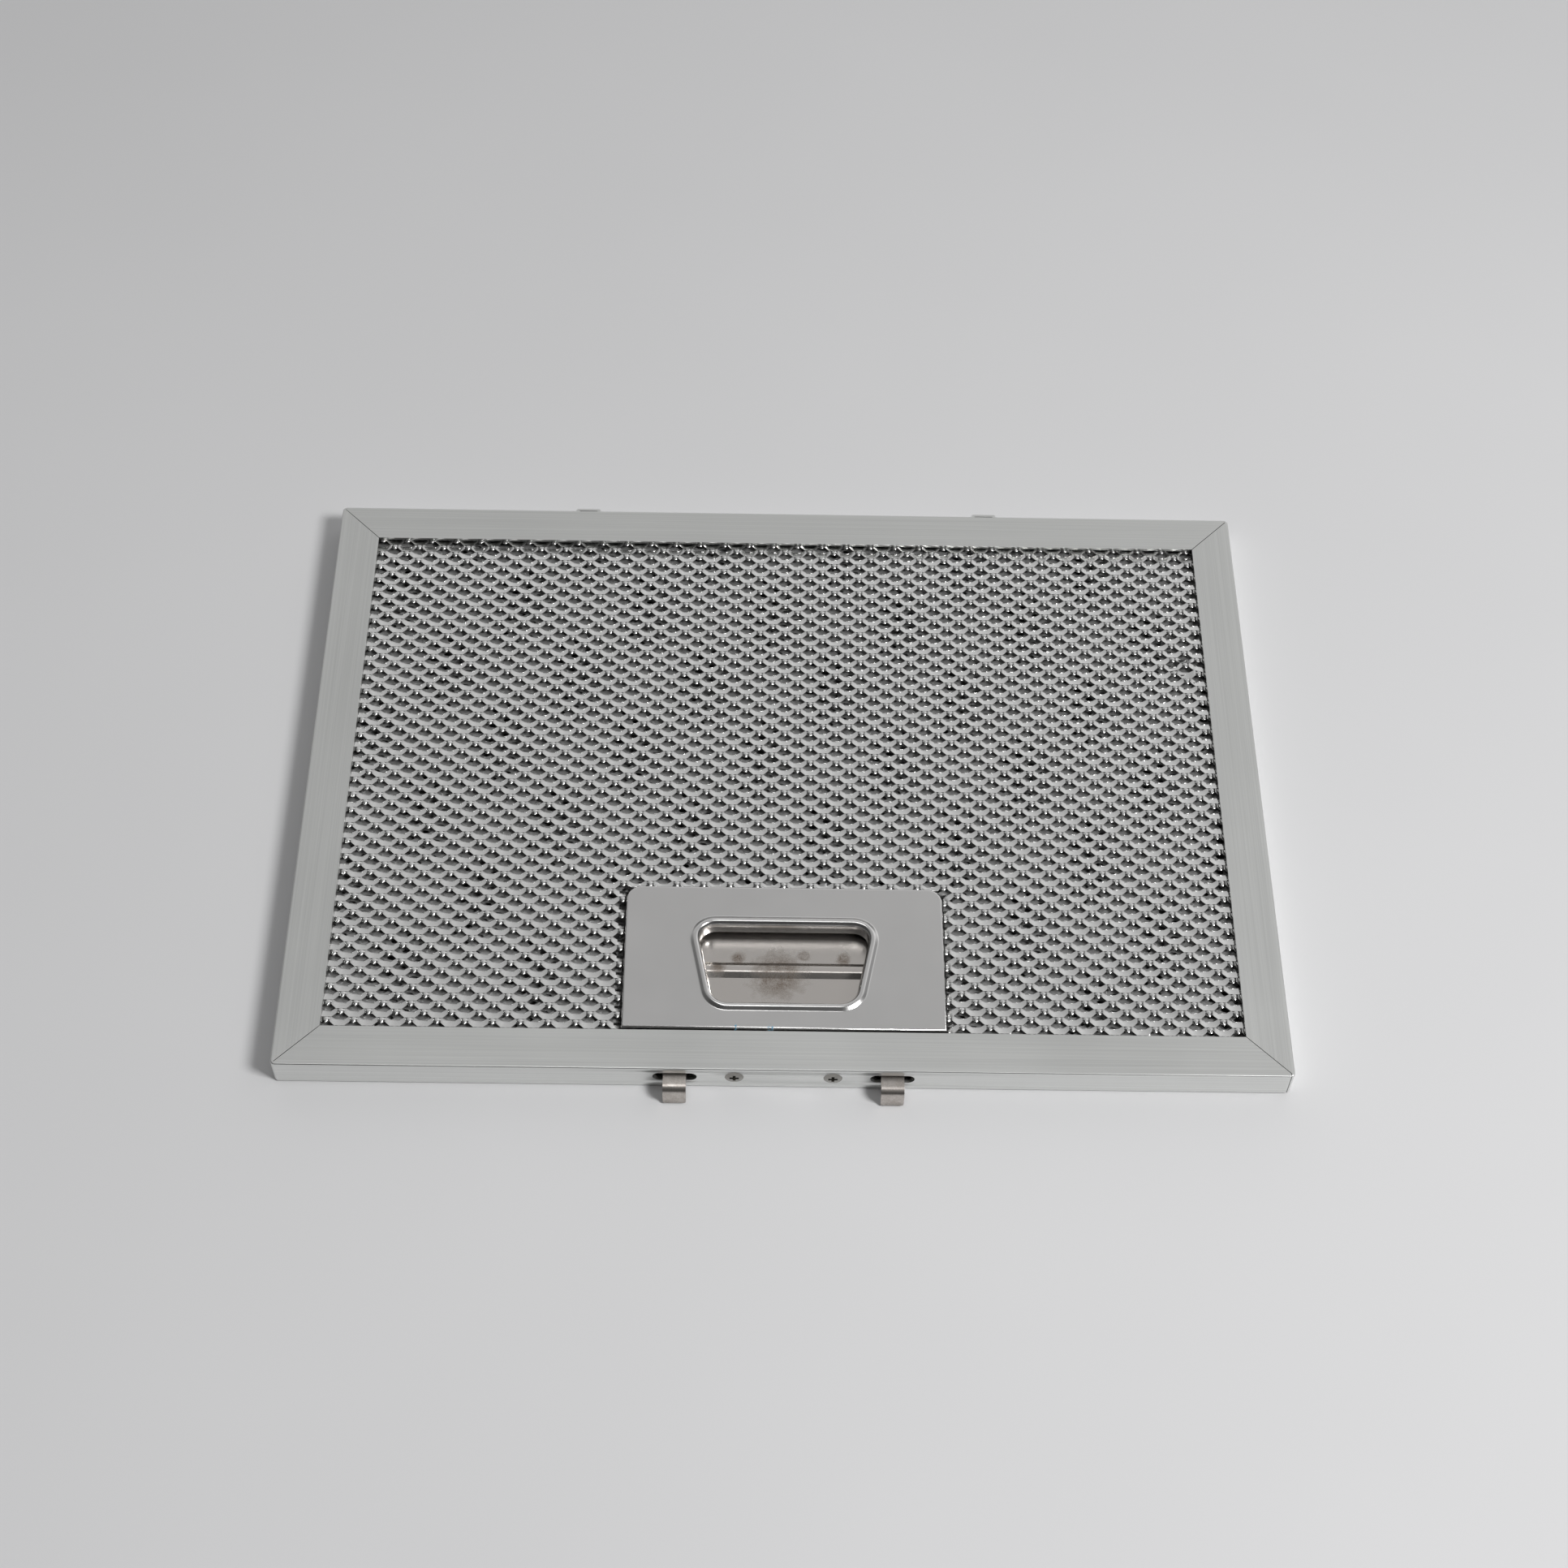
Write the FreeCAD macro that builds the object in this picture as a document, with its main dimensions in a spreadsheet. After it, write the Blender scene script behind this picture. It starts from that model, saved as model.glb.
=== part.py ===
"""Cooker hood grease filter: channel frame, expanded meshes, foil layers and a sprung finger latch.

Millimetres. X runs along the frame, Y from the latch edge (front) to the lug edge (rear), +Z up out of the
face with the handle. The origin is on the resting plane, in the middle of the whole footprint.
"""
import FreeCAD, Part
import math
import os
import re
import Sketcher
from FreeCAD import Rotation, Vector

doc = FreeCAD.newDocument("grease_filter")
sheet = doc.addObject("Spreadsheet::Sheet", "dims")

# Driving sizes: name, value and meaning
SIZES = [
    ("frame_width", 300.0, "frame, left to right"),
    ("frame_depth", 215.0, "frame, front to rear"),
    ("frame_height", 10.0, "height of the channel"),
    ("flange_width", 13.2, "width of the channel's two flanges"),
    ("frame_wall", 1.0, "wall of the channel"),
    ("bend_radius", 1.5, "outside of the frame's folded corners"),
    ("frame_edge", 0.4, "rounding of the channel's long outer edges"),
    ("mitre_gap", 0.2, "open line of each flange mitre"),
    ("lug_spacing", 134.5, "rear lugs, centre to centre"),
    ("lug_width", 11.0, "foot of a rear lug"),
    ("lug_slope", 1.8, "run of a rear lug's sloping ends"),
    ("lug_reach", 3.0, "how far a rear lug stands out"),
    ("lug_height", 5.0, "height of a rear lug"),
    ("lug_drop", 2.5, "lug's upper edge below the top of the frame"),
    ("lug_sheet", 0.8, "lanced wall of a lug"),
    ("key_leg", 18.0, "leg of the corner key"),
    ("key_sheet", 1.2, "thickness of the corner key"),
    ("key_gap", 0.1, "corner key to the channel's walls"),
    ("mesh_rise", 1.1, "height of an expanded sheet over its ridges"),
    ("mesh_sheet", 0.5, "thickness of an expanded sheet"),
    ("mesh_pitch", 2.9, "one row of an expanded sheet"),
    ("mesh_inset", 2.0, "sheet edges to the inner face of the web"),
    ("gap_width", 13.0, "opening of the sheets, left to right"),
    ("gap_depth", 8.0, "opening of the sheets, front to rear"),
    ("gap_pitch_x", 25.0, "openings in one row"),
    ("gap_pitch_y", 17.4, "rows of openings"),
    ("foil_count", 4.0, "foil layers between the two meshes"),
    ("foil_sheet", 0.2, "thickness of a foil layer"),
    ("foil_pitch", 5.8, "one crimp of a foil layer"),
    ("layer_gap", 0.05, "between stacked layers"),
    ("handle_gap", 0.5, "cut edges of the front mesh and foil to the handle"),
    ("cover_width", 96.4, "handle cover, left to right"),
    ("cover_depth", 49.9, "handle cover, front to rear"),
    ("cover_setback", 0.7, "cover behind the inner edge of the front flange"),
    ("cover_proud", 0.2, "cover above the top of the frame"),
    ("cover_sheet", 0.7, "thickness of the cover"),
    ("cover_edge", 0.9, "rounding of the cover's outer edges"),
    ("cover_corner", 4.8, "rear corners of the cover"),
    ("cover_lip", 2.6, "depth of the cover's front edge"),
    ("finger_rear", 53.2, "finger opening along its rear edge"),
    ("finger_front", 42.2, "finger opening along its front edge"),
    ("finger_depth", 27.0, "finger opening, front to rear"),
    ("finger_setback", 9.1, "finger opening behind the cover's front edge"),
    ("finger_corner", 5.0, "corners of the finger opening"),
    ("rim_drop", 4.7, "drawn rim below the top of the cover"),
    ("bead_width", 2.6, "bead around the finger opening"),
    ("bead_height", 0.8, "bead above the cover"),
    ("bead_round", 0.7, "rounding of the bead"),
    ("tray_sheet", 0.6, "thickness of the tray"),
    ("tray_lift", 0.1, "tray above the rear mesh"),
    ("tray_fit", 0.1, "tray to the cover's walls and the front web"),
    ("tray_wall", 5.6, "height of the tray's front and rear walls above its floor"),
    ("rail_reach", 4.0, "tray's rails over the slider's edges"),
    ("slider_sheet", 0.8, "thickness of the slider"),
    ("slider_play", 0.1, "slider to the tray's floor and front wall"),
    ("rail_play", 0.3, "slider to the tray's rails"),
    ("slider_front", 16.5, "slider's main plate behind the front face"),
    ("slider_rear", 53.5, "slider's rear wall behind the front face"),
    ("upstand", 4.3, "slider's rear wall above its plate"),
    ("rib_centre", 37.8, "finger rib behind the front face"),
    ("rib_width", 5.4, "finger rib at its foot"),
    ("rib_top", 2.2, "flat top of the finger rib"),
    ("rib_height", 1.3, "finger rib above the slider"),
    ("rib_length", 76.0, "finger rib, left to right"),
    ("arm_width", 15.6, "slider's arms"),
    ("tongue_spacing", 64.0, "tongues, centre to centre"),
    ("tongue_width", 6.8, "tongue, left to right"),
    ("tongue_level", 6.8, "upper face of the tongues above the resting plane"),
    ("tongue_reach", 6.0, "tongues out of the front face"),
    ("tongue_bend", 2.5, "outside of the tongue's bend"),
    ("tongue_end", 0.6, "lower end of the tongues above the resting plane"),
    ("slot_width", 13.0, "tongue slots, left to right"),
    ("slot_height", 4.0, "tongue slots, up and down"),
    ("slot_level", 5.6, "centre of the tongue slots"),
    ("screw_spacing", 29.0, "handle screws, centre to centre"),
    ("screw_level", 5.6, "axis of the handle screws"),
    ("screw_head", 5.5, "diameter of a screw head"),
    ("screw_cone", 1.4, "height of a screw head"),
    ("screw_shank", 2.9, "diameter of a screw's shank"),
    ("screw_length", 8.0, "length of a screw with its head"),
    ("screw_fit", 0.05, "screw to its holes, all round"),
    ("recess_span", 3.0, "cross recess of a screw"),
    ("recess_blade", 0.6, "width of a cross recess's arms"),
    ("recess_depth", 0.9, "depth of a cross recess"),
    ("collar_wall", 0.8, "wall of the tray's screw collars"),
    ("collar_length", 2.2, "length of the tray's screw collars"),
    ("spring_spacing", 72.0, "latch springs, centre to centre"),
    ("spring_level", 5.7, "axis of the latch springs"),
    ("spring_diameter", 4.4, "outside of a latch spring"),
    ("spring_wire", 0.5, "wire of a latch spring"),
    ("spring_turns", 5.0, "turns of a latch spring"),
    ("spring_seat", 0.1, "each end of a spring to its seat"),
    ("spigot_play", 0.3, "spring to its spigots, all round"),
    ("spigot_length", 1.2, "spring spigots"),
]

# Levels and places that follow from the driving sizes
DERIVED = [
    ("front_face", "(tongue_reach - lug_reach - frame_depth) / 2", "outer face of the front web"),
    ("rear_face", "front_face + frame_depth", "outer face of the rear web"),
    ("middle", "(front_face + rear_face) / 2", "middle of the frame, front to rear"),
    ("half_width", "frame_width / 2", "outer face of the right web"),
    ("layer_half_x", "half_width - frame_wall - mesh_inset", "half of a layer, left to right"),
    ("layer_half_y", "frame_depth / 2 - frame_wall - mesh_inset", "half of a layer, front to rear"),
    ("rear_mesh_top", "frame_wall + mesh_rise", "upper side of the rear mesh"),
    ("front_mesh_low", "frame_height - frame_wall - mesh_rise", "lower side of the front mesh"),
    ("foil_rise", "(front_mesh_low - rear_mesh_top) / foil_count", "height that each foil layer takes"),
    ("cover_front", "front_face + flange_width + cover_setback", "front edge of the cover"),
    ("cover_rear", "cover_front + cover_depth", "rear edge of the cover"),
    ("cover_half", "cover_width / 2", "right edge of the cover"),
    ("cover_top", "frame_height + cover_proud", "upper face of the cover"),
    ("finger_low_y", "cover_front + finger_setback", "front edge of the finger opening"),
    ("finger_high_y", "finger_low_y + finger_depth", "rear edge of the finger opening"),
    ("tray_low", "rear_mesh_top + tray_lift", "underside of the tray"),
    ("tray_floor", "tray_low + tray_sheet", "upper face of the tray's floor"),
    ("tray_top", "tray_floor + tray_wall", "upper edge of the tray's walls"),
    ("tray_front", "front_face + frame_wall + tray_fit", "front of the tray"),
    ("tray_rear", "cover_rear - cover_sheet - tray_fit", "rear of the tray"),
    ("tray_half", "cover_half - cover_sheet - tray_fit", "right side of the tray"),
    ("slider_low", "tray_floor + slider_play", "underside of the slider's plate"),
    ("slider_top", "slider_low + slider_sheet", "upper face of the slider's plate"),
    ("slider_half", "tray_half - tray_sheet - rail_play", "right edge of the slider"),
    ("upstand_rear", "front_face + slider_rear", "rear face of the slider's rear wall"),
    ("upstand_top", "slider_top + upstand", "upper edge of the slider's rear wall"),
    ("rib_y", "front_face + rib_centre", "middle of the finger rib"),
    ("plate_front", "front_face + slider_front", "front edge of the slider's plate"),
    ("tongue_low", "tongue_level - slider_sheet", "underside of the tongues"),
    ("joggle", "tongue_level - slider_top", "rise from the plate to the arms"),
    ("arm_front", "tray_front + tray_sheet + slider_play", "shoulders of the arms"),
    ("tongue_tip", "front_face - tongue_reach", "front of the tongues"),
    ("tongue_x", "tongue_spacing / 2", "middle of the right tongue"),
    ("screw_x", "screw_spacing / 2", "axis of the right screw"),
    ("spring_x", "spring_spacing / 2", "axis of the right spring"),
    ("spring_bore", "spring_diameter / 2 - spring_wire", "inner radius of a spring"),
    ("spigot_radius", "spring_bore - spigot_play", "radius of a spring spigot"),
    ("spring_front", "upstand_rear + spring_seat", "front end of the springs"),
    ("spring_rear", "tray_rear - tray_sheet - spring_seat", "rear end of the springs"),
    ("lug_top", "frame_height - lug_drop", "upper edge of the lugs"),
    ("lug_x", "lug_spacing / 2", "middle of the right lug"),
]

ALIASES = {name for name, *_ in SIZES + DERIVED}
Y_AXIS = Rotation(Vector(1, 0, 0), -90)
TINY = 1e-6


def fill_sheet():
    """One row per size: its meaning, then its value under its alias."""
    for row, (name, value, note) in enumerate(SIZES + DERIVED, 1):
        sheet.set(f"A{row}", note)
        sheet.set(f"B{row}", f"={value}" if isinstance(value, str) else str(value))
        sheet.setAlias(f"B{row}", name)
    doc.recompute()


def formula(text):
    """Expression text with each of the sheet's names pointing at the sheet."""
    return re.sub(r"[a-z_]+\d*", lambda m: f"dims.{m[0]}" if m[0] in ALIASES else m[0], text)


def value(text):
    return float(sheet.evalExpression(formula(text)))


def bind(item, path, text):
    item.setExpression(path, formula(text))


def place(item, x, y, z):
    for axis, text in zip("xyz", (x, y, z)):
        bind(item, f"Placement.Base.{axis}", text)
    return item


# Part primitives


def slab(name, x, y, z):
    """Box given by its low and high side along each axis."""
    item = doc.addObject("Part::Box", name)
    for side, (low, high) in zip(("Length", "Width", "Height"), (x, y, z)):
        bind(item, side, f"({high}) - ({low})")
    return place(item, x[0], y[0], z[0])


def rod(name, x, z, radius, low, high):
    """Cylinder along Y."""
    item = doc.addObject("Part::Cylinder", name)
    bind(item, "Radius", radius)
    bind(item, "Height", f"({high}) - ({low})")
    item.Placement.Rotation = Y_AXIS
    return place(item, x, low, z)


def taper(name, x, z, front_radius, rear_radius, low, high):
    """Cone along Y."""
    item = doc.addObject("Part::Cone", name)
    bind(item, "Radius1", front_radius)
    bind(item, "Radius2", rear_radius)
    bind(item, "Height", f"({high}) - ({low})")
    item.Placement.Rotation = Y_AXIS
    return place(item, x, low, z)


def fuse(name, items):
    item = doc.addObject("Part::MultiFuse", name)
    item.Shapes = items
    return item


def cut(name, base, tools):
    item = doc.addObject("Part::Cut", name)
    item.Base = base
    item.Tool = tools[0] if len(tools) == 1 else fuse(f"{name}_cuts", tools)
    return item


def mirrored(name, source):
    """Copy on the other side of the middle plane."""
    item = doc.addObject("Part::Mirroring", name)
    item.Source = source
    item.Normal = Vector(1, 0, 0)
    return item


# Bodies with sketches


def new_body(name):
    return doc.addObject("PartDesign::Body", name)


def new_sketch(body, name, role, offset):
    item = body.newObject("Sketcher::SketchObject", name)
    item.AttachmentSupport = [(next(f for f in body.Origin.OriginFeatures if f.Role == role), "")]
    item.MapMode = "FlatFace"
    bind(item, "AttachmentOffset.Base.z", offset)
    return item


def hold_point(item, index, u, v):
    """Ties a point of a sketch to its two distances from the sketch's origin."""
    for kind, text in (("DistanceX", u), ("DistanceY", v)):
        row = item.addConstraint(Sketcher.Constraint(kind, -1, 1, index, 1, value(text)))
        bind(item, f"Constraints[{row}]", text)


def sketch(body, name, role, points, offset="0"):
    """Closed polygon with its corners at the given points."""
    item = new_sketch(body, name, role, offset)
    corners = [Vector(value(u), value(v), 0) for u, v in points]
    count = len(points)
    for i in range(count):
        item.addGeometry(Part.LineSegment(corners[i], corners[(i + 1) % count]))
    for i in range(count):
        item.addConstraint(Sketcher.Constraint("Coincident", i, 2, (i + 1) % count, 1))
    for i, (u, v) in enumerate(points):
        hold_point(item, i, u, v)
    return item


def round_sketch(body, name, role, points, radius, offset):
    """Closed polygon, drawn anticlockwise, whose corners are arcs of one radius."""
    item = new_sketch(body, name, role, offset)
    corners = [Vector(value(u), value(v), 0) for u, v in points]
    count = len(points)
    starts, ends, arcs = [], [], []
    for i, corner in enumerate(corners):
        before = (corners[i - 1] - corner).normalize()
        after = (corners[(i + 1) % count] - corner).normalize()
        half = before.getAngle(after) / 2
        reach = value(radius) / math.tan(half)
        centre = corner + (before + after).normalize() * (value(radius) / math.sin(half))
        ends.append(corner + before * reach)
        starts.append(corner + after * reach)
        turn = [math.atan2(p.y - centre.y, p.x - centre.x) for p in (ends[i], starts[i])]
        arcs.append(Part.ArcOfCircle(Part.Circle(centre, Vector(0, 0, 1), value(radius)), *turn))
    for i in range(count):
        item.addGeometry(Part.LineSegment(starts[i], ends[(i + 1) % count]))
    for arc in arcs:
        item.addGeometry(arc)
    for corner in corners:
        item.addGeometry(Part.Point(corner), True)
    for i, (u, v) in enumerate(points):
        arc, point, line, last = count + i, 2 * count + i, i, (i - 1) % count
        hold_point(item, point, u, v)
        item.addConstraint(Sketcher.Constraint("PointOnObject", point, 1, line))
        item.addConstraint(Sketcher.Constraint("PointOnObject", point, 1, last))
        item.addConstraint(Sketcher.Constraint("Tangent", last, 2, arc, 1))
        item.addConstraint(Sketcher.Constraint("Tangent", arc, 2, line, 1))
        row = item.addConstraint(Sketcher.Constraint("Radius", arc, value(radius)))
        bind(item, f"Constraints[{row}]", radius)
    return item


def rectangle(u, v):
    return [(u[0], v[0]), (u[1], v[0]), (u[1], v[1]), (u[0], v[1])]


def extrude(body, kind, name, profile, length, **settings):
    """Pad or Pocket of a sketch."""
    item = body.newObject(f"PartDesign::{kind}", name)
    item.Profile = profile
    bind(item, "Length", length)
    for key, setting in settings.items():
        setattr(item, key, setting)
    doc.recompute()
    return item


def edges_where(shape, test):
    """Names of the edges whose middle point and direction pass a test."""
    names = []
    for i, edge in enumerate(shape.Edges, 1):
        middle = edge.valueAt((edge.FirstParameter + edge.LastParameter) / 2)
        span = edge.BoundBox
        if test(middle, span):
            names.append(f"Edge{i}")
    return names


def round_edges(body, name, base, radius, test):
    item = body.newObject("PartDesign::Fillet", name)
    item.Base = (base, edges_where(base.Shape, test))
    bind(item, "Radius", radius)
    doc.recompute()
    return item


def upright(span):
    return span.XLength < TINY and span.YLength < TINY


def level(span, height):
    return abs(span.ZMin - height) < TINY and abs(span.ZMax - height) < TINY


def same(a, b):
    return abs(a - b) < TINY


# Frame: one folded channel


def frame_channel():
    """Rounded block, opened through its middle and hollowed between its flanges."""
    body = new_body("frame_channel")
    plan = sketch(body, "frame_plan", "XY_Plane", rectangle(
        ("-half_width", "half_width"), ("front_face", "rear_face")))
    block = extrude(body, "Pad", "frame_block", plan, "frame_height")
    folded = round_edges(body, "frame_bends", block, "bend_radius", lambda p, s: upright(s))
    top = value("frame_height")
    eased = round_edges(body, "frame_edges", folded, "frame_edge", lambda p, s: level(s, 0) or level(s, top))
    window = sketch(body, "frame_window", "XY_Plane", rectangle(
        ("flange_width - half_width", "half_width - flange_width"),
        ("front_face + flange_width", "rear_face - flange_width")))
    extrude(body, "Pocket", "frame_opening", window, "frame_height", Reversed=True)
    inside = sketch(body, "frame_inside", "XY_Plane", rectangle(
        ("frame_wall - half_width", "half_width - frame_wall"),
        ("front_face + frame_wall", "rear_face - frame_wall")), "frame_wall")
    extrude(body, "Pocket", "frame_hollow", inside, "frame_height - 2 * frame_wall", Reversed=True)
    return body


def lug():
    """Right rear lug: a bridge lanced out of the web, open above and below."""
    body = new_body("lug_bridge")
    foot = "lug_width / 2"
    head = "(lug_width / 2 - lug_slope)"
    arch = [
        (f"lug_x - {foot}", "rear_face - frame_wall / 2"),
        (f"lug_x - {foot}", "rear_face"),
        (f"lug_x - {head}", "rear_face + lug_reach"),
        (f"lug_x + {head}", "rear_face + lug_reach"),
        (f"lug_x + {foot}", "rear_face"),
        (f"lug_x + {foot}", "rear_face - frame_wall / 2"),
        (f"lug_x + {foot} - lug_sheet", "rear_face - frame_wall / 2"),
        (f"lug_x + {foot} - lug_sheet", "rear_face"),
        (f"lug_x + {head} - lug_sheet", "rear_face + lug_reach - lug_sheet"),
        (f"lug_x - {head} + lug_sheet", "rear_face + lug_reach - lug_sheet"),
        (f"lug_x - {foot} + lug_sheet", "rear_face"),
        (f"lug_x - {foot} + lug_sheet", "rear_face - frame_wall / 2"),
    ]
    plan = sketch(body, "lug_plan", "XY_Plane", arch, "lug_top - lug_height")
    extrude(body, "Pad", "lug_arch", plan, "lug_height")
    return body


def tongue_slot(name, low, high):
    """Round-ended slot for the right tongue, cut from low to high along Y."""
    reach = "(slot_width - slot_height) / 2"
    middle = slab(f"{name}_middle", (f"tongue_x - {reach}", f"tongue_x + {reach}"), (low, high),
                  ("slot_level - slot_height / 2", "slot_level + slot_height / 2"))
    ends = [rod(f"{name}_end_{i}", f"tongue_x + {sign} * {reach}", "slot_level", "slot_height / 2", low, high)
            for i, sign in enumerate((-1, 1))]
    return fuse(name, [middle, *ends])


def screw_sink(name, high):
    """Countersink for the right screw's head, from the front face to high along Y."""
    slope = "(screw_head - screw_shank) / 2 / screw_cone"
    mouth = "screw_head / 2 + screw_fit"
    return taper(name, "screw_x", "screw_level", mouth, f"{mouth} - {slope} * ({high} - front_face)",
                 "front_face", high)


def mitre(name, corner_x, corner_y, turn):
    """Open line across a corner, from the outside inwards, through both flanges."""
    lines = []
    for level_name, low in (("low", "0"), ("high", "frame_height - frame_wall")):
        line = doc.addObject("Part::Box", f"{name}_{level_name}")
        bind(line, "Length", "(flange_width - frame_wall) * sqrt(2) + mitre_gap")
        bind(line, "Width", "mitre_gap")
        bind(line, "Height", "frame_wall")
        line.Placement.Rotation = Rotation(Vector(0, 0, 1), turn)
        angle = math.radians(turn)
        step_x = f"{math.cos(angle) * math.sqrt(2)} * frame_wall + {math.sin(angle) / 2} * mitre_gap"
        step_y = f"{math.sin(angle) * math.sqrt(2)} * frame_wall - {math.cos(angle) / 2} * mitre_gap"
        place(line, f"{corner_x} + {step_x}", f"{corner_y} + {step_y}", low)
        lines.append(line)
    return lines


def build_frame():
    channel = frame_channel()
    right_lug = lug()
    whole = fuse("frame_with_lugs", [channel, right_lug, mirrored("lug_bridge_left", right_lug)])
    slot = tongue_slot("web_slot", "front_face", "front_face + frame_wall")
    sink = screw_sink("web_sink", "front_face + frame_wall")
    window = slab("lug_window", ("lug_x - lug_width / 2 + lug_sheet", "lug_x + lug_width / 2 - lug_sheet"),
                  ("rear_face - frame_wall", "rear_face"), ("lug_top - lug_height", "lug_top"))
    cuts = []
    for tool in (slot, sink, window):
        cuts += [tool, mirrored(f"{tool.Name}_left", tool)]
    corners = [("-half_width", "front_face", 45), ("half_width", "front_face", 135),
               ("half_width", "rear_face", 225), ("-half_width", "rear_face", 315)]
    for i, corner in enumerate(corners):
        cuts += mitre(f"mitre_{i}", *corner)
    # The strip's two ends meet at the front right corner, behind the end of the right web.
    cuts.append(slab("closing_seam", ("half_width - frame_wall - mitre_gap", "half_width - frame_wall"),
                     ("front_face", "front_face + frame_wall"), ("0", "frame_height")))
    return cut("frame", whole, cuts)


def build_corner_key():
    """Angle inside the closing corner, against both webs."""
    right = "half_width - frame_wall - key_gap"
    front = "front_face + frame_wall + key_gap"
    height = ("frame_wall + key_gap", "frame_height - frame_wall - key_gap")
    legs = [slab("key_front_leg", (f"{right} - key_leg", right), (front, f"{front} + key_sheet"), height),
            slab("key_side_leg", (f"{right} - key_sheet", right), (front, f"{front} + key_leg"), height)]
    return fuse("corner_key", legs)


# Sheets between the flanges


def crimped_sheet(low, rise, thickness, pitch):
    """Zigzag sheet whose ridges run along X, the full size of a layer."""
    half_x, half_y, middle = value("layer_half_x"), value("layer_half_y"), value("middle")
    steps = max(2, round(2 * half_y / pitch) * 2)
    stations = [middle - half_y + 2 * half_y * i / steps for i in range(steps + 1)]
    lower = [Vector(-half_x, y, low + (rise - thickness) * (i % 2)) for i, y in enumerate(stations)]
    upper = [point + Vector(0, 0, thickness) for point in reversed(lower)]
    outline = Part.makePolygon([*lower, *upper, lower[0]])
    return Part.Face(outline).extrude(Vector(2 * half_x, 0, 0))


def gap_prisms(low, rise, shift, keep_clear):
    """Six-sided openings in staggered rows, inside the frame's window and off the handle."""
    width, depth = value("gap_width"), value("gap_depth")
    pitch_x, pitch_y, middle = value("gap_pitch_x"), value("gap_pitch_y"), value("middle")
    reach_x = value("half_width - flange_width - gap_width / 2")
    reach_y = value("frame_depth / 2 - flange_width - gap_depth / 2")
    prisms = []
    rows = int(reach_y // pitch_y)
    for row in range(-rows, rows + 1):
        y = middle + row * pitch_y
        offset = shift + (pitch_x / 2 if row % 2 else 0)
        columns = int(reach_x // pitch_x) + 1
        for column in range(-columns, columns + 1):
            x = column * pitch_x + offset
            if abs(x) > reach_x or keep_clear(x, y):
                continue
            corners = [Vector(x + u * width / 2, y + v * depth / 2, low) for u, v in
                       ((-1, 0), (-0.4, -1), (0.4, -1), (1, 0), (0.4, 1), (-0.4, 1), (-1, 0))]
            prisms.append(Part.Face(Part.makePolygon(corners)).extrude(Vector(0, 0, rise)))
    return prisms


def layer(name, low, rise, thickness, pitch, shift, notched):
    """One sheet of the stack; the front ones are cut out around the handle."""
    half = value("cover_half + handle_gap")
    rear = value("cover_rear + handle_gap")
    front = value("middle - layer_half_y")
    margin_x, margin_y = value("gap_width"), value("gap_depth")

    def near_handle(x, y):
        return notched and abs(x) < half + margin_x and y < rear + margin_y

    tools = gap_prisms(low, rise, shift, near_handle)
    if notched:
        tools.append(Part.makeBox(2 * half, rear - front, rise, Vector(-half, front, low)))
    item = doc.addObject("Part::Feature", name)
    item.Shape = crimped_sheet(low, rise, thickness, pitch).cut(tools)
    return item


def build_layers():
    mesh = (value("mesh_rise"), value("mesh_sheet"), value("mesh_pitch"))
    foil = (value("foil_rise - layer_gap"), value("foil_sheet"), value("foil_pitch"))
    layers = [layer("rear_mesh", value("frame_wall"), *mesh, 0, False)]
    for i in range(round(value("foil_count"))):
        low = value("rear_mesh_top") + i * value("foil_rise")
        shift = value("gap_pitch_x") * (i % 2) / 2
        layers.append(layer(f"foil_layer_{i + 1}", low, *foil, shift, True))
    layers.append(layer("front_mesh", value("front_mesh_low"), *mesh, 0, True))
    return layers


# Handle and latch


def finger_outline(margin):
    """Finger opening, wider at the rear, grown by a margin on every side."""
    lean = "(finger_rear - finger_front) / 2 / finger_depth"
    rear = f"finger_rear / 2 + {margin} * (1 + {lean})"
    front = f"finger_front / 2 + {margin} * (1 - {lean})"
    low, high = f"finger_low_y - {margin}", f"finger_high_y + {margin}"
    return [(f"-({front})", low), (front, low), (rear, high), (f"-({rear})", high)]


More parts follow.
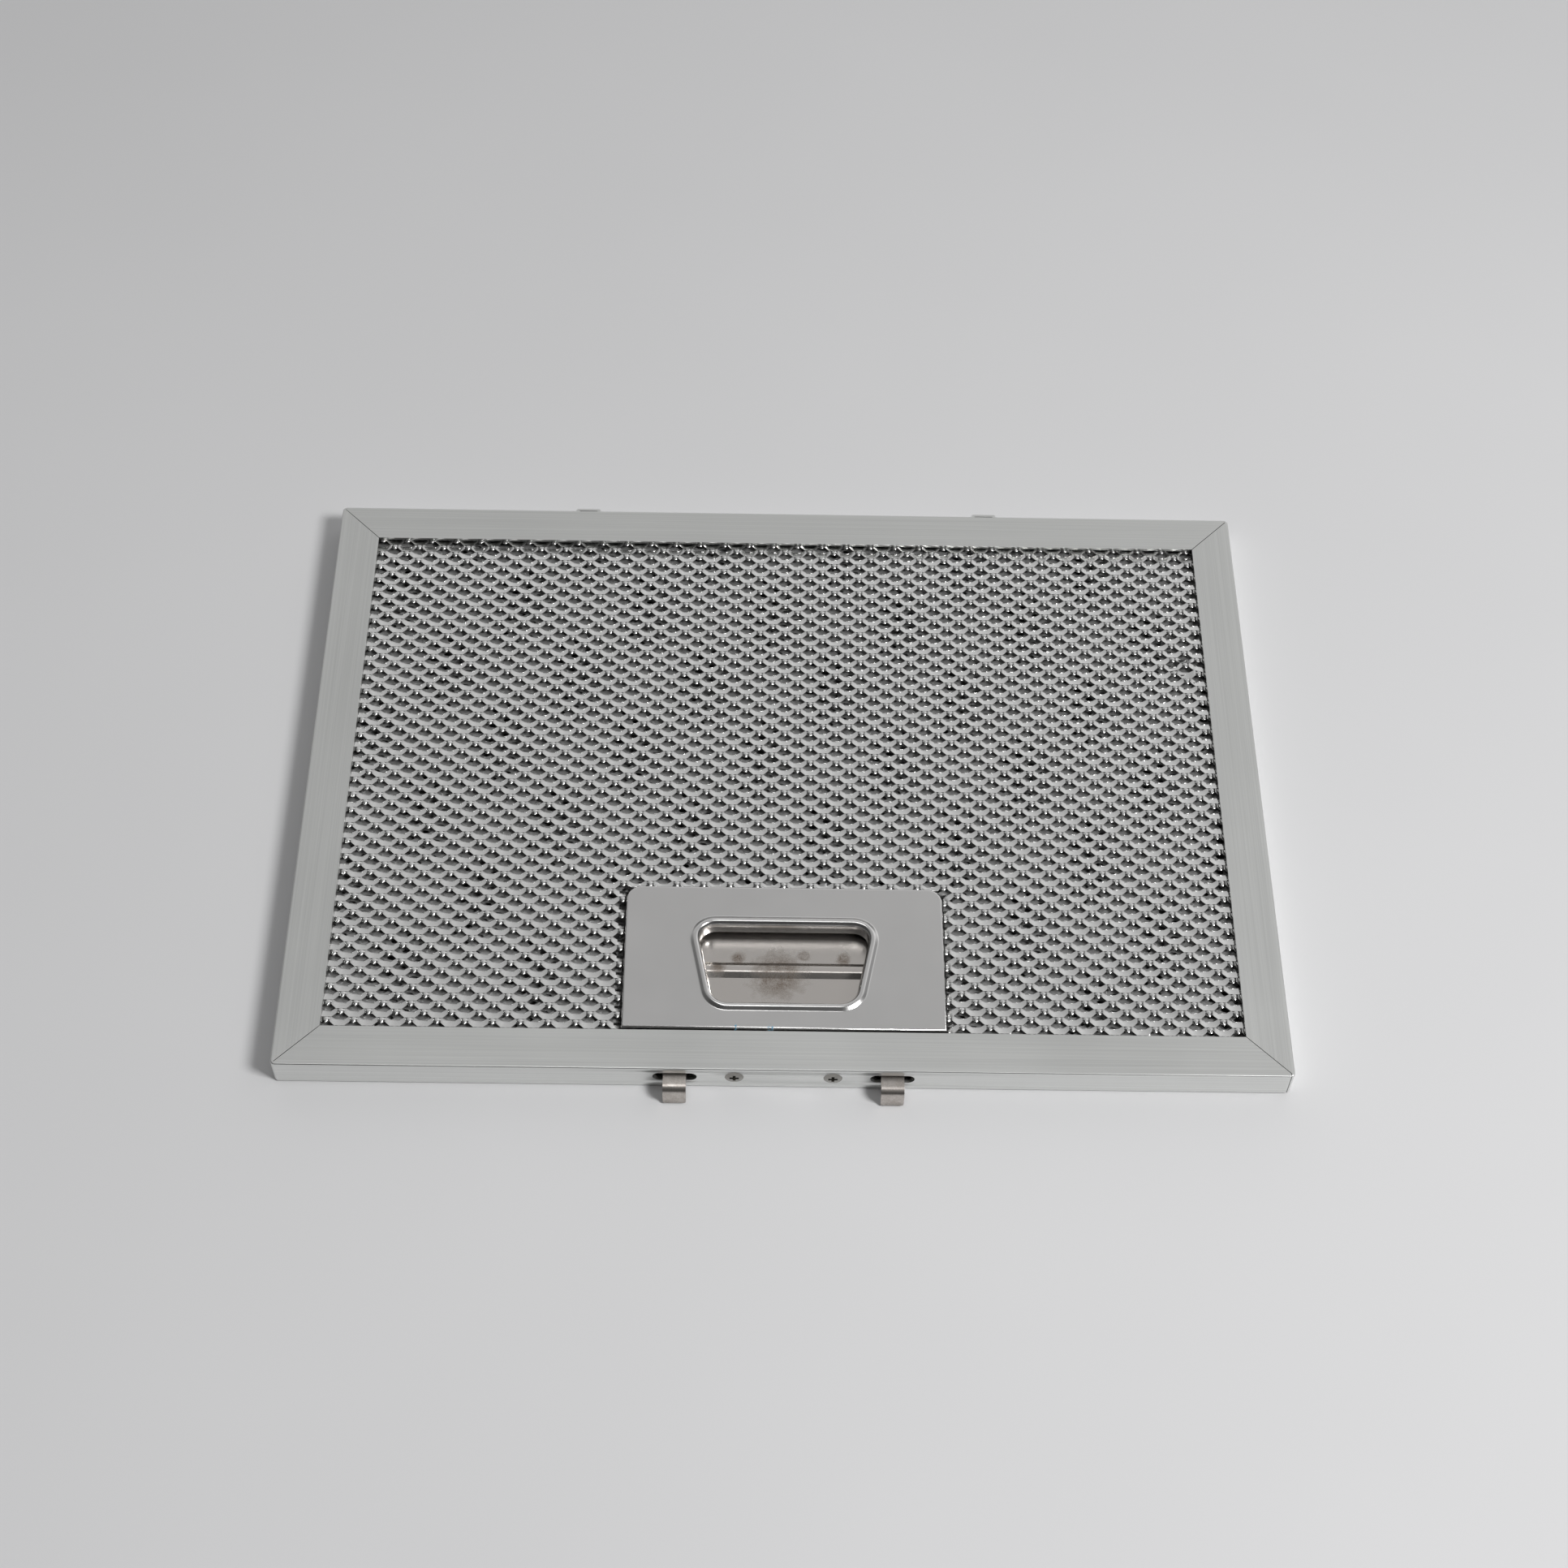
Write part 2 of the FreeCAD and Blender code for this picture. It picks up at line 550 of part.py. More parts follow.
def build_cover():
    """Drawn lid with rounded edges, a short front lip and a beaded rim around the finger opening."""
    body = new_body("handle_cover")
    plan = sketch(body, "cover_plan", "XY_Plane", rectangle(
        ("-cover_half", "cover_half"), ("cover_front", "cover_rear")), "tray_low")
    block = extrude(body, "Pad", "cover_block", plan, "cover_top - tray_low")
    rear, top = value("cover_rear"), value("cover_top")
    corners = round_edges(body, "cover_corners", block, "cover_corner",
                          lambda p, s: upright(s) and same(p.y, rear))
    edges = round_edges(body, "cover_edges", corners, "cover_edge", lambda p, s: level(s, top))
    shell = body.newObject("PartDesign::Thickness", "cover_shell")
    low = value("tray_low")
    under = [f"Face{i}" for i, face in enumerate(edges.Shape.Faces, 1) if same(face.BoundBox.ZMax, low)]
    shell.Base = (edges, under)
    shell.Reversed = True
    bind(shell, "Value", "cover_sheet")
    doc.recompute()
    trim = sketch(body, "cover_front_trim", "XY_Plane", rectangle(
        ("cover_sheet - cover_half", "cover_half - cover_sheet"),
        ("cover_front", "cover_front + cover_sheet")), "tray_low")
    extrude(body, "Pocket", "cover_lip_cut", trim, "cover_top - cover_lip - tray_low", Reversed=True)
    ring = round_sketch(body, "bead_plan", "XY_Plane", finger_outline("bead_width"),
                        "finger_corner + bead_width", "cover_top - cover_sheet")
    extrude(body, "Pad", "bead", ring, "bead_height + cover_sheet")
    wall = round_sketch(body, "rim_plan", "XY_Plane", finger_outline("cover_sheet"),
                        "finger_corner + cover_sheet", "cover_top - rim_drop")
    extrude(body, "Pad", "rim", wall, "rim_drop")
    mouth = round_sketch(body, "finger_plan", "XY_Plane", finger_outline("0"), "finger_corner",
                         "cover_top - rim_drop")
    opened = extrude(body, "Pocket", "finger_opening", mouth, "rim_drop + bead_height", Reversed=True)
    crest = value("cover_top + bead_height")
    round_edges(body, "bead_crest", opened, "bead_round", lambda p, s: level(s, crest))
    return body


def build_tray():
    """Tray behind the front web: floor, end walls, rails over the slider, screw collars, spring spigots."""
    rail_low = "slider_top + rail_play"
    inner = "(tray_half - tray_sheet)"
    pieces = [
        slab("tray_base", ("-tray_half", "tray_half"), ("tray_front", "tray_rear"),
             ("tray_low", "tray_floor")),
        slab("tray_front_wall", ("-tray_half", "tray_half"), ("tray_front", "tray_front + tray_sheet"),
             ("tray_low", "tray_top")),
        slab("tray_rear_wall", ("cover_corner - tray_half", "tray_half - cover_corner"),
             ("tray_rear - tray_sheet", "tray_rear"), ("tray_low", "tray_top")),
    ]
    rails = [
        slab("rail_wall", (inner, "tray_half"), ("plate_front", "upstand_rear"),
             ("tray_low", f"{rail_low} + tray_sheet")),
        slab("rail_lip", (f"{inner} - rail_reach", inner), ("plate_front", "upstand_rear - rail_reach"),
             (rail_low, f"{rail_low} + tray_sheet")),
        rod("collar", "screw_x", "screw_level", "screw_shank / 2 + collar_wall", "tray_front + tray_sheet",
            "tray_front + tray_sheet + collar_length"),
        rod("tray_spigot", "spring_x", "spring_level", "spigot_radius",
            "tray_rear - tray_sheet - spigot_length", "tray_rear - tray_sheet"),
    ]
    for piece in rails:
        pieces += [piece, mirrored(f"{piece.Name}_left", piece)]
    slot = tongue_slot("tray_slot", "tray_front", "tray_front + tray_sheet")
    thread = rod("collar_bore", "screw_x", "screw_level", "screw_shank / 2 + screw_fit", "tray_front",
                 "tray_front + tray_sheet + collar_length")
    sink = screw_sink("tray_sink", "front_face + screw_cone")
    corner = slab("tray_corner_cut", ("tray_half - cover_corner", "tray_half"),
                  ("tray_rear - cover_corner", "tray_rear"), ("tray_low", "tray_floor"))
    cuts = []
    for tool in (slot, thread, sink, corner):
        cuts += [tool, mirrored(f"{tool.Name}_left", tool)]
    return cut("latch_tray", fuse("tray_pieces", pieces), cuts)


def rib_section(base):
    """Finger rib across the slider, standing on a level."""
    return [
        ("rib_y - rib_width / 2", base),
        ("rib_y + rib_width / 2", base),
        ("rib_y + rib_top / 2", f"{base} + rib_height"),
        ("rib_y - rib_top / 2", f"{base} + rib_height"),
    ]


def slider_plate():
    """Main plate with its upturned rear wall and a pressed finger rib, hollow from below."""
    body = new_body("slider_plate")
    section = [
        ("plate_front", "slider_low"),
        ("upstand_rear", "slider_low"),
        ("upstand_rear", "upstand_top"),
        ("upstand_rear - slider_sheet", "upstand_top"),
        ("upstand_rear - slider_sheet", "slider_top"),
        ("plate_front", "slider_top"),
    ]
    profile = sketch(body, "slider_section", "YZ_Plane", section)
    extrude(body, "Pad", "slider_pad", profile, "2 * slider_half", Midplane=True)
    outside = sketch(body, "rib_outside", "YZ_Plane", rib_section("slider_top"))
    extrude(body, "Pad", "rib", outside, "rib_length", Midplane=True)
    inside = sketch(body, "rib_inside", "YZ_Plane", rib_section("slider_low"))
    extrude(body, "Pocket", "rib_hollow", inside, "rib_length - 2 * slider_sheet", Midplane=True)
    return body


def slider_arm():
    """Right arm: up from the plate, forward to its shoulders behind the front wall."""
    body = new_body("slider_arm")
    section = [
        ("plate_front + slider_sheet", "slider_low"),
        ("plate_front + slider_sheet", "slider_top"),
        ("plate_front", "slider_top"),
        ("plate_front - joggle", "tongue_level"),
        ("arm_front", "tongue_level"),
        ("arm_front", "tongue_low"),
        ("plate_front - joggle", "tongue_low"),
        ("plate_front", "slider_low"),
    ]
    profile = sketch(body, "arm_section", "YZ_Plane", section, "tongue_x - arm_width / 2")
    extrude(body, "Pad", "arm_pad", profile, "arm_width")
    return body


def slider_tongue():
    """Right tongue: out through the slots and hooked down over a rounded bend."""
    body = new_body("slider_tongue")
    section = [
        ("arm_front", "tongue_level"),
        ("tongue_tip", "tongue_level"),
        ("tongue_tip", "tongue_end"),
        ("tongue_tip + slider_sheet", "tongue_end"),
        ("tongue_tip + slider_sheet", "tongue_low"),
        ("arm_front", "tongue_low"),
    ]
    profile = sketch(body, "tongue_section", "YZ_Plane", section, "tongue_x - tongue_width / 2")
    hook = extrude(body, "Pad", "tongue_pad", profile, "tongue_width")
    tip, low, high = value("tongue_tip"), value("tongue_low"), value("tongue_level")
    inner = value("tongue_tip + slider_sheet")
    bent = round_edges(body, "tongue_outer_bend", hook, "tongue_bend",
                       lambda p, s: same(p.y, tip) and same(p.z, high))
    round_edges(body, "tongue_inner_bend", bent, "tongue_bend - slider_sheet",
                lambda p, s: same(p.y, inner) and same(p.z, low))
    return body


def build_slider():
    pieces = [slider_plate()]
    spigot = rod("slider_spigot", "spring_x", "spring_level", "spigot_radius", "upstand_rear",
                 "upstand_rear + spigot_length")
    for piece in (slider_arm(), slider_tongue(), spigot):
        pieces += [piece, mirrored(f"{piece.Name}_left", piece)]
    return fuse("latch_slider", pieces)


def build_spring(name, side):
    """Coil along Y between the slider's rear wall and the tray's rear wall."""
    coil = doc.addObject("Part::Helix", f"{name}_path")
    length = "(spring_rear - spring_front - spring_wire)"
    bind(coil, "Radius", "(spring_diameter - spring_wire) / 2")
    bind(coil, "Pitch", f"{length} / spring_turns")
    bind(coil, "Height", length)
    wire = doc.addObject("Part::Circle", f"{name}_wire")
    bind(wire, "Radius", "spring_wire / 2")
    wire.Placement.Rotation = Rotation(Vector(1, 0, 0), 90)
    bind(wire, "Placement.Base.x", "(spring_diameter - spring_wire) / 2")
    item = doc.addObject("Part::Sweep", name)
    item.Sections = [wire]
    item.Spine = (coil, [])
    item.Solid = True
    item.Frenet = True
    item.Placement.Rotation = Y_AXIS
    return place(item, f"{side} * spring_x", "spring_front + spring_wire / 2", "spring_level")


def build_screws():
    """Two countersunk screws with cross recesses, driven from the front."""
    head = taper("screw_head_cone", "screw_x", "screw_level", "screw_head / 2", "screw_shank / 2",
                 "front_face", "front_face + screw_cone")
    shank = rod("screw_shank_rod", "screw_x", "screw_level", "screw_shank / 2", "front_face + screw_cone",
                "front_face + screw_length")
    whole = fuse("screw_blank", [head, shank])
    depth = ("front_face", "front_face + recess_depth")
    arms = [
        slab("recess_flat", ("screw_x - recess_span / 2", "screw_x + recess_span / 2"), depth,
             ("screw_level - recess_blade / 2", "screw_level + recess_blade / 2")),
        slab("recess_tall", ("screw_x - recess_blade / 2", "screw_x + recess_blade / 2"), depth,
             ("screw_level - recess_span / 2", "screw_level + recess_span / 2")),
    ]
    screw = cut("screw_right", whole, arms)
    pair = doc.addObject("Part::Compound", "handle_screws")
    pair.Links = [screw, mirrored("screw_left", screw)]
    return pair


def check(items):
    """Stops before anything is written if an object failed or a shape is not sound."""
    for item in doc.Objects:
        if "Invalid" in item.State or "Error" in item.State:
            raise RuntimeError(f"{item.Name}: {item.State}")
    for item in items:
        shape = item.Shape
        if shape.isNull() or not shape.isValid() or not shape.Solids:
            raise RuntimeError(f"{item.Label}: shape is not valid")
        print(f"{item.Label}: {len(shape.Solids)} solid, {len(shape.Faces)} faces, {shape.Volume:.1f} mm3")


fill_sheet()
parts = [build_frame(), build_corner_key(), *build_layers(), build_cover(), build_tray(), build_slider(),
         build_spring("left_spring", -1), build_spring("right_spring", 1), build_screws()]
doc.recompute()
check(parts)
os.makedirs("parts", exist_ok=True)
for part in parts:
    part.Shape.exportStep(f"parts/{part.Label}.step")
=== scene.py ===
"""Looks of the cooker hood grease filter: frame, expanded meshes, foil, handle and latch, on a pale floor."""

import math
import bmesh
import bpy
from mathutils import Matrix, Vector


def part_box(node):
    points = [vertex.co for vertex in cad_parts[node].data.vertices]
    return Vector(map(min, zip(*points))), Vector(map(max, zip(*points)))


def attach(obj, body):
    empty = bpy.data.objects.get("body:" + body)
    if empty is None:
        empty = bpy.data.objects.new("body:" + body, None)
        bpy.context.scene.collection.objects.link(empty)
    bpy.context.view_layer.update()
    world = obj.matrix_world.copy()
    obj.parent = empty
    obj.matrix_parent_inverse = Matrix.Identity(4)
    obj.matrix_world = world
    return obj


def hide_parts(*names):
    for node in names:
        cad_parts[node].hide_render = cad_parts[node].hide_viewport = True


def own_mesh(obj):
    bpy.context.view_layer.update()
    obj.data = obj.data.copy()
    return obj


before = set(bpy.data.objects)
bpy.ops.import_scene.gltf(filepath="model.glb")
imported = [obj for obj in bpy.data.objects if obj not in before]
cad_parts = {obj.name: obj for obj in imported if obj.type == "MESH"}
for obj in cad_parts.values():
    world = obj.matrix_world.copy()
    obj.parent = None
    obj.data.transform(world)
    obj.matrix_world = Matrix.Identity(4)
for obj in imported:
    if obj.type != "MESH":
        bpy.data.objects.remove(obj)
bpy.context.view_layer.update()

MM = 0.001

# Levels and places of the CAD part, in millimetres
HALF_X, MIDDLE_Y, HALF_Y, MIDDLE_Z = 150.0, 1.5, 107.5, 5.0
FLANGE = 13.2
COVER_X, COVER_FRONT, COVER_REAR, COVER_TOP = 48.2, -92.1, -42.2, 10.2
TRAY_LOW = 2.2
COVER_CORNER, COVER_EDGE, COVER_SHEET, COVER_LIP = 4.8, 0.6, 0.7, 2.6
WELL_FRONT, WELL_REAR, WELL_LOW = -83.0, -56.0, 6.0
WELL_FRONT_X, WELL_REAR_X, WELL_CORNER = 21.1, 26.6, 5.0
FLAT_RING = 0.3
# Rings from the flat of the cover over the bead and into the opening: width and rise
BEAD_STEPS = [
    (FLAT_RING, 0), (0.15, 0.02), (0.15, 0.08), (0.4, 0.25), (0.4, 0.25), (0.15, 0.08), (0.25, 0.07),
    (0.5, 0.03), (0.4, -0.2), (0.7, -0.9),
]
BEAD_REACH = sum(width for width, rise in BEAD_STEPS)
PLATE_X, PLATE_FRONT, PLATE_REAR, PLATE_TOP, PLATE_SHEET = 46.5, -89.5, -53.3, 3.7, 0.8
UPSTAND_TOP, UPSTAND_BEND, UPSTAND_STRIP = 8.0, 0.7, 1.0
RIB_X, RIB_FRONT, RIB_REAR, RIB_TOP, RIB_SLOPE, RIB_ROUND = 38.0, -70.9, -65.5, 5.0, 1.6, 0.4
ARM, ARM_TOP, ARM_END, JOGGLE, JOGGLE_ROUND = 15.6, 6.8, -104.2, 3.1, 0.8
TONGUE, TONGUE_X, TONGUE_TIP, TONGUE_LOW, TONGUE_BEND = 6.8, 32.0, -112.0, 0.6, 2.5
TONGUE_LIP, TONGUE_FLARE, TONGUE_CORNER, BEND_STEPS = 0.5, 1.2, 0.5, 6
SCREW_X, SCREW_Z, SCREW_HEAD, SCREW_CONE, SCREW_SHANK, SCREW_LENGTH = 14.5, 5.6, 5.5, 1.4, 2.9, 8.0
# Rings of a screw's domed head, the ring at its tip, and the blades of its cross
SCREW_DOME = [(0.2, 0), (0.3, 0.16), (0.45, 0.13), (0.6, 0.07)]
SCREW_TIP = (0.5, 0.4)
CROSS_BLADE, CROSS_ARM, CROSS_DEPTH = 0.85, 0.95, 2.0
SPRING_OUTER, SPRING_WIRE, SPRING_TURNS = 4.4, 0.5, 5
SPRING_X, SPRING_Z, SPRING_FRONT, SPRING_REAR = 36.0, 5.7, -52.35, -43.7

# Expanded sheet: width of a cell, depth of a row, and the strand's tilt, sheet and knuckle
LONG_WAY, ROW = 8.19, 2.905
STRAND_TILT, STRAND_SHEET, STRAND_UNDERCUT = 15.0, 0.28, 0.12
KNUCKLE_FOOT = (1.05, 1.2)

# One knuckle seen in the photo, how far the rows start inside the frame and how far they go under its flanges
MESH_X, MESH_Y, MESH_Z = -78.08, 83.69, 8.1
MESH_COLUMNS, MESH_ROWS, MESH_START, MESH_TUCK = 37, 35, 8.0, 0.6

# Gap around the handle, and how far from it the sheets are cut through
HANDLE_GAP, CUT_X, CUT_Y = 0.4, 5.0, 3.0

# Pushed-up cells near the right edge: their middle and lean, then reach and lift
DENT = (131.0 * MM, 46.0 * MM)
DENT_LEAN = (-0.3, 0.5)
DENT_STEPS = [(5.0, 0.2), (3.2, 0.4)]

# Section of a foil ribbon from its rear to its front edge, and its zigzag
FOIL_SECTION = [(1.90, 0.52), (1.50, 0.28), (-1.80, 0.0)]
FOIL_STATIONS = [(-0.7, 1), (0.7, 1), (3.395, -1), (4.795, -1), (7.49, 1)]
FOIL_SWING = 1.2
FOIL_COLUMNS, FOIL_ROWS, FOIL_TUCK = 42, 48, 1.5
FOIL_LOW, FOIL_STEP = 2.6, 1.3

# Turn in degrees and shift of each foil layer, lowest first
FOIL_LAYS = [(9.0, 0.4, 0.2), (-13.0, 2.3, 1.1), (17.0, 1.0, 2.1), (-8.0, 3.1, 0.6)]

# Stains on the slider, as place and radius, and where its tongues start to tarnish and are tarnished
STAINS = [(-2.0, -70.0, 9.5), (-14.0, -64.0, 2.6), (-20.0, -68.0, 2.8), (6.0, -63.0, 2.2), (18.0, -64.0, 2.8)]
TARNISH_START, TARNISH_FULL = -104.5, -106.0

# Flakes of film on the cover's front edge, as place and half width, and where the film starts and is full
FILM_FLAKES = [(-4.0, 1.1), (-14.3, 0.5)]
FILM_START, FILM_FULL = -90.4, -91.3

# Floor, in metres
FLOOR_SIZE, FLOOR_Y, FLOOR_Z = 6.0, 0.6, -0.0002

# The photo's camera: lens in millimetres, place in metres, turn in degrees
CAMERA_LENS = 60.56
CAMERA_PLACE = (-0.0108, -0.4834, 0.6871)
CAMERA_TURN = (35.327, -1.044, 0.226)

# Soft boxes: direction from the part, then distance, width and depth in metres, and power in watts
LIGHTS = [
    ("overhead_box", (-0.1, -0.04, 1.0), 1.5, 0.7, 0.45, 2.2),
    ("key_lamp", (0.57, -0.33, 0.76), 1.9, 0.5, 0.5, 26.0),
]

# One strand from the middle of a knuckle to the start of a flat: points of its rear edge, its ridge and its
# front edge, across the sheet, along it and above the strand's own plane
STRAND_STEPS = [
    ((0.00, 1.53, 0.78), (0.00, 0.95, 1.40), (0.00, -0.60, 0.52)),
    ((0.50, 1.53, 0.78), (0.50, 0.95, 1.32), (0.46, -0.52, 0.53)),
    ((0.82, 1.53, 0.78), (0.82, 0.90, 0.98), (0.78, -0.20, 0.54)),
    ((1.12, 1.53, 0.76), (1.12, 0.80, 0.62), (1.08, 0.12, 0.50)),
    ((1.60, 1.53, 0.78), (1.52, 0.55, 0.56), (1.40, -0.30, 0.46)),
    ((2.85, 1.275, 0.03), (2.72, 0.0, 0.04), (2.55, -1.25, 0.10)),
]


# Modelling helpers


def added(name):
    """The primitive that was just added, with its size and turn applied."""
    item = bpy.context.object
    item.name = name
    item.data.name = name
    bpy.ops.object.transform_apply(location=True, rotation=True, scale=True)
    return item


def clear_selection():
    if bpy.context.object and bpy.context.object.mode != "OBJECT":
        bpy.ops.object.mode_set(mode="OBJECT")
    bpy.ops.object.select_all(action="DESELECT")


def take(item):
    clear_selection()
    item.select_set(True)
    bpy.context.view_layer.objects.active = item


def pick(item, kind, test):
    """In edit mode, selects the vertices, edges or faces that pass a test."""
    bpy.ops.object.mode_set(mode="EDIT")
    bpy.ops.mesh.select_mode(type=kind)
    bpy.ops.mesh.select_all(action="DESELECT")
    mesh = bmesh.from_edit_mesh(item.data)
    for part in {"VERT": mesh.verts, "EDGE": mesh.edges, "FACE": mesh.faces}[kind]:
        part.select_set(bool(test(part)))
    mesh.select_flush_mode()
    bmesh.update_edit_mesh(item.data)


def middle(edge):
    return (edge.verts[0].co + edge.verts[1].co) / 2


def near(a, b):
    return abs(a - b) < 0.01 * MM


def move(x, y, z):
    bpy.ops.transform.translate(value=(x * MM, y * MM, z * MM))


def extrude(x, y, z):
    bpy.ops.mesh.extrude_region_move(TRANSFORM_OT_translate={"value": (x * MM, y * MM, z * MM)})


def inset(width, depth):
    bpy.ops.mesh.inset(thickness=width * MM, depth=depth * MM, use_even_offset=True)


def finish_mesh(item, angle):
    """Joins doubles, turns the faces outwards and shades smooth below an angle."""
    bpy.ops.object.mode_set(mode="EDIT")
    bpy.ops.mesh.select_all(action="SELECT")
    bpy.ops.mesh.remove_doubles(threshold=0.005 * MM)
    bpy.ops.mesh.normals_make_consistent(inside=False)
    bpy.ops.object.mode_set(mode="OBJECT")
    take(item)
    bpy.ops.object.shade_smooth_by_angle(angle=math.radians(angle))


def apply_modifier(item, name, kind, **settings):
    take(item)
    modifier = item.modifiers.new(name, kind)
    for key, setting in settings.items():
        setattr(modifier, key, setting)
    bpy.ops.object.modifier_apply(modifier=name)


def copy_of(item, name):
    twin = item.copy()
    twin.data = item.data.copy()
    twin.name = name
    twin.data.name = name
    bpy.context.scene.collection.objects.link(twin)
    return twin


def turn_mesh(item, matrix):
    item.data.transform(matrix)
    item.data.update()


# Material helpers


def linear(code):
    """Linear colour of an sRGB hex code."""
    parts = [int(code[i:i + 2], 16) / 255 for i in (1, 3, 5)]
    return (*[c / 12.92 if c <= 0.04045 else ((c + 0.055) / 1.055) ** 2.4 for c in parts], 1.0)


def add(tree, kind, inputs, **settings):
    """Adds a node with its settings, sets or links its inputs, and returns its outputs."""
    item = tree.nodes.new("ShaderNode" + kind)
    for key, setting in settings.items():
        setattr(item, key, setting)
    for key, source in inputs.items():
        if isinstance(source, bpy.types.NodeSocket):
            tree.links.new(source, item.inputs[key])
        else:
            item.inputs[key].default_value = source
    return item.outputs


def calc(tree, operation, a, b=0.0):
    return add(tree, "Math", {0: a, 1: b}, operation=operation)[0]


def blend(tree, factor, a, b):
    return add(tree, "Mix", {0: factor, 6: a, 7: b}, data_type="RGBA")[2]


def span(tree, value, low, high, to_low=0.0, to_high=1.0):
    return add(tree, "MapRange", {0: value, 1: low, 2: high, 3: to_low, 4: to_high})[0]


def place_of(tree, scale=(1.0, 1.0, 1.0)):
    """Object coordinates in millimetres, stretched by a scale."""
    point = add(tree, "TexCoord", {})["Object"]
    return add(tree, "Mapping", {"Vector": point, "Scale": [s / MM for s in scale]})[0]


def noise(tree, vector, scale, detail=3.0, roughness=0.55):
    inputs = {"Vector": vector, "Scale": scale, "Detail": detail, "Roughness": roughness}
    return add(tree, "TexNoise", inputs)[0]


def metal(name):
    """New material with its node tree and its shader."""
    item = bpy.data.materials.new(name)
    item.use_nodes = True
    shader = item.node_tree.nodes["Principled BSDF"]
    shader.inputs["Metallic"].default_value = 1.0
    return item, item.node_tree, shader


def connect(tree, shader, **sources):
    for key, source in sources.items():
        socket = shader.inputs[key.replace("_", " ")]
        if isinstance(source, bpy.types.NodeSocket):
            tree.links.new(source, socket)
        else:
            socket.default_value = source


def bump(tree, height, strength, distance):
    return add(tree, "Bump", {"Height": height, "Strength": strength, "Distance": distance * MM})[0]


def frame_material():
    """Satin extruded aluminium: fine lines along each member, changing direction at the mitres."""
    item, tree, shader = metal("satin extruded aluminium")
    x, y = add(tree, "SeparateXYZ", {0: place_of(tree)})[:2]
    side = calc(tree, "SUBTRACT", HALF_X, calc(tree, "ABSOLUTE", x))
    end = calc(tree, "SUBTRACT", HALF_Y, calc(tree, "ABSOLUTE", calc(tree, "SUBTRACT", y, MIDDLE_Y)))
    along_y = calc(tree, "LESS_THAN", side, end)
    # Drawing lines about 0.6 mm apart, which streak the satin, under clouds of about 50 mm
    lines_x = noise(tree, place_of(tree, (0.004, 1.0, 1.0)), 1.6, 4.0, 0.7)
    lines_y = noise(tree, place_of(tree, (1.0, 0.004, 1.0)), 1.6, 4.0, 0.7)
    lines = add(tree, "Mix", {0: along_y, 2: lines_x, 3: lines_y})[0]
    cloud = noise(tree, place_of(tree), 0.02, 2.0)
    shade = span(tree, lines, 0.3, 0.7)
    connect(tree, shader, Base_Color=blend(tree, shade, linear("#dcdddb"), linear("#e9eae8")),
            Roughness=span(tree, calc(tree, "ADD", lines, cloud), 0.7, 1.3, 0.30, 0.40),
            Normal=bump(tree, lines, 0.4, 0.02))
    return item


def mesh_material():
    """Bright rolled aluminium with a faint grain."""
    item, tree, shader = metal("bright rolled aluminium")
    # Rolling grain about 0.4 mm wide, which breaks up the mirror of each strand
    grain = noise(tree, place_of(tree, (0.3, 1.0, 1.0)), 2.5)
    connect(tree, shader, Base_Color=blend(tree, grain, linear("#d8d8d7"), linear("#e4e4e3")),
            Roughness=span(tree, grain, 0.3, 0.7, 0.16, 0.24), Normal=bump(tree, grain, 0.1, 0.02))
    return item


def foil_material():
    """Bright aluminium foil, a little dulled."""
    item, tree, shader = metal("aluminium foil")
    # Dull and bright patches about 1.2 mm wide, so that only some edges glint
    grain = noise(tree, place_of(tree), 0.8)
    connect(tree, shader, Base_Color=blend(tree, grain, linear("#7c7c7c"), linear("#969695")),
            Metallic=0.45, Roughness=span(tree, grain, 0.3, 0.7, 0.25, 0.45))
    return item


def cover_material():
    """Satin stainless steel, with flakes of blue film left on the front edge."""
    item, tree, shader = metal("satin stainless steel")
    place = place_of(tree)
    # Cloudy sheen about 20 mm wide on an even, soft mirror
    cloud = noise(tree, place, 0.05, 2.0)
    x, y = add(tree, "SeparateXYZ", {0: place})[:2]
    steel = blend(tree, cloud, linear("#e4e3e2"), linear("#ebeae9"))
    flakes = 0.0
    for flake_x, width in FILM_FLAKES:
        across = span(tree, calc(tree, "ABSOLUTE", calc(tree, "SUBTRACT", x, flake_x)), width, 0.4 * width)
        flakes = calc(tree, "MAXIMUM", across, flakes)
    ragged = span(tree, noise(tree, place, 1.8), 0.46, 0.54)
    along_edge = calc(tree, "MULTIPLY", flakes, span(tree, y, FILM_START, FILM_FULL))
    film = calc(tree, "MULTIPLY", along_edge, ragged)
    connect(tree, shader, Base_Color=blend(tree, film, steel, linear("#3f8fb0")),
            Metallic=calc(tree, "SUBTRACT", 1.0, film),
            Roughness=span(tree, cloud, 0.3, 0.7, 0.19, 0.23))
    return item


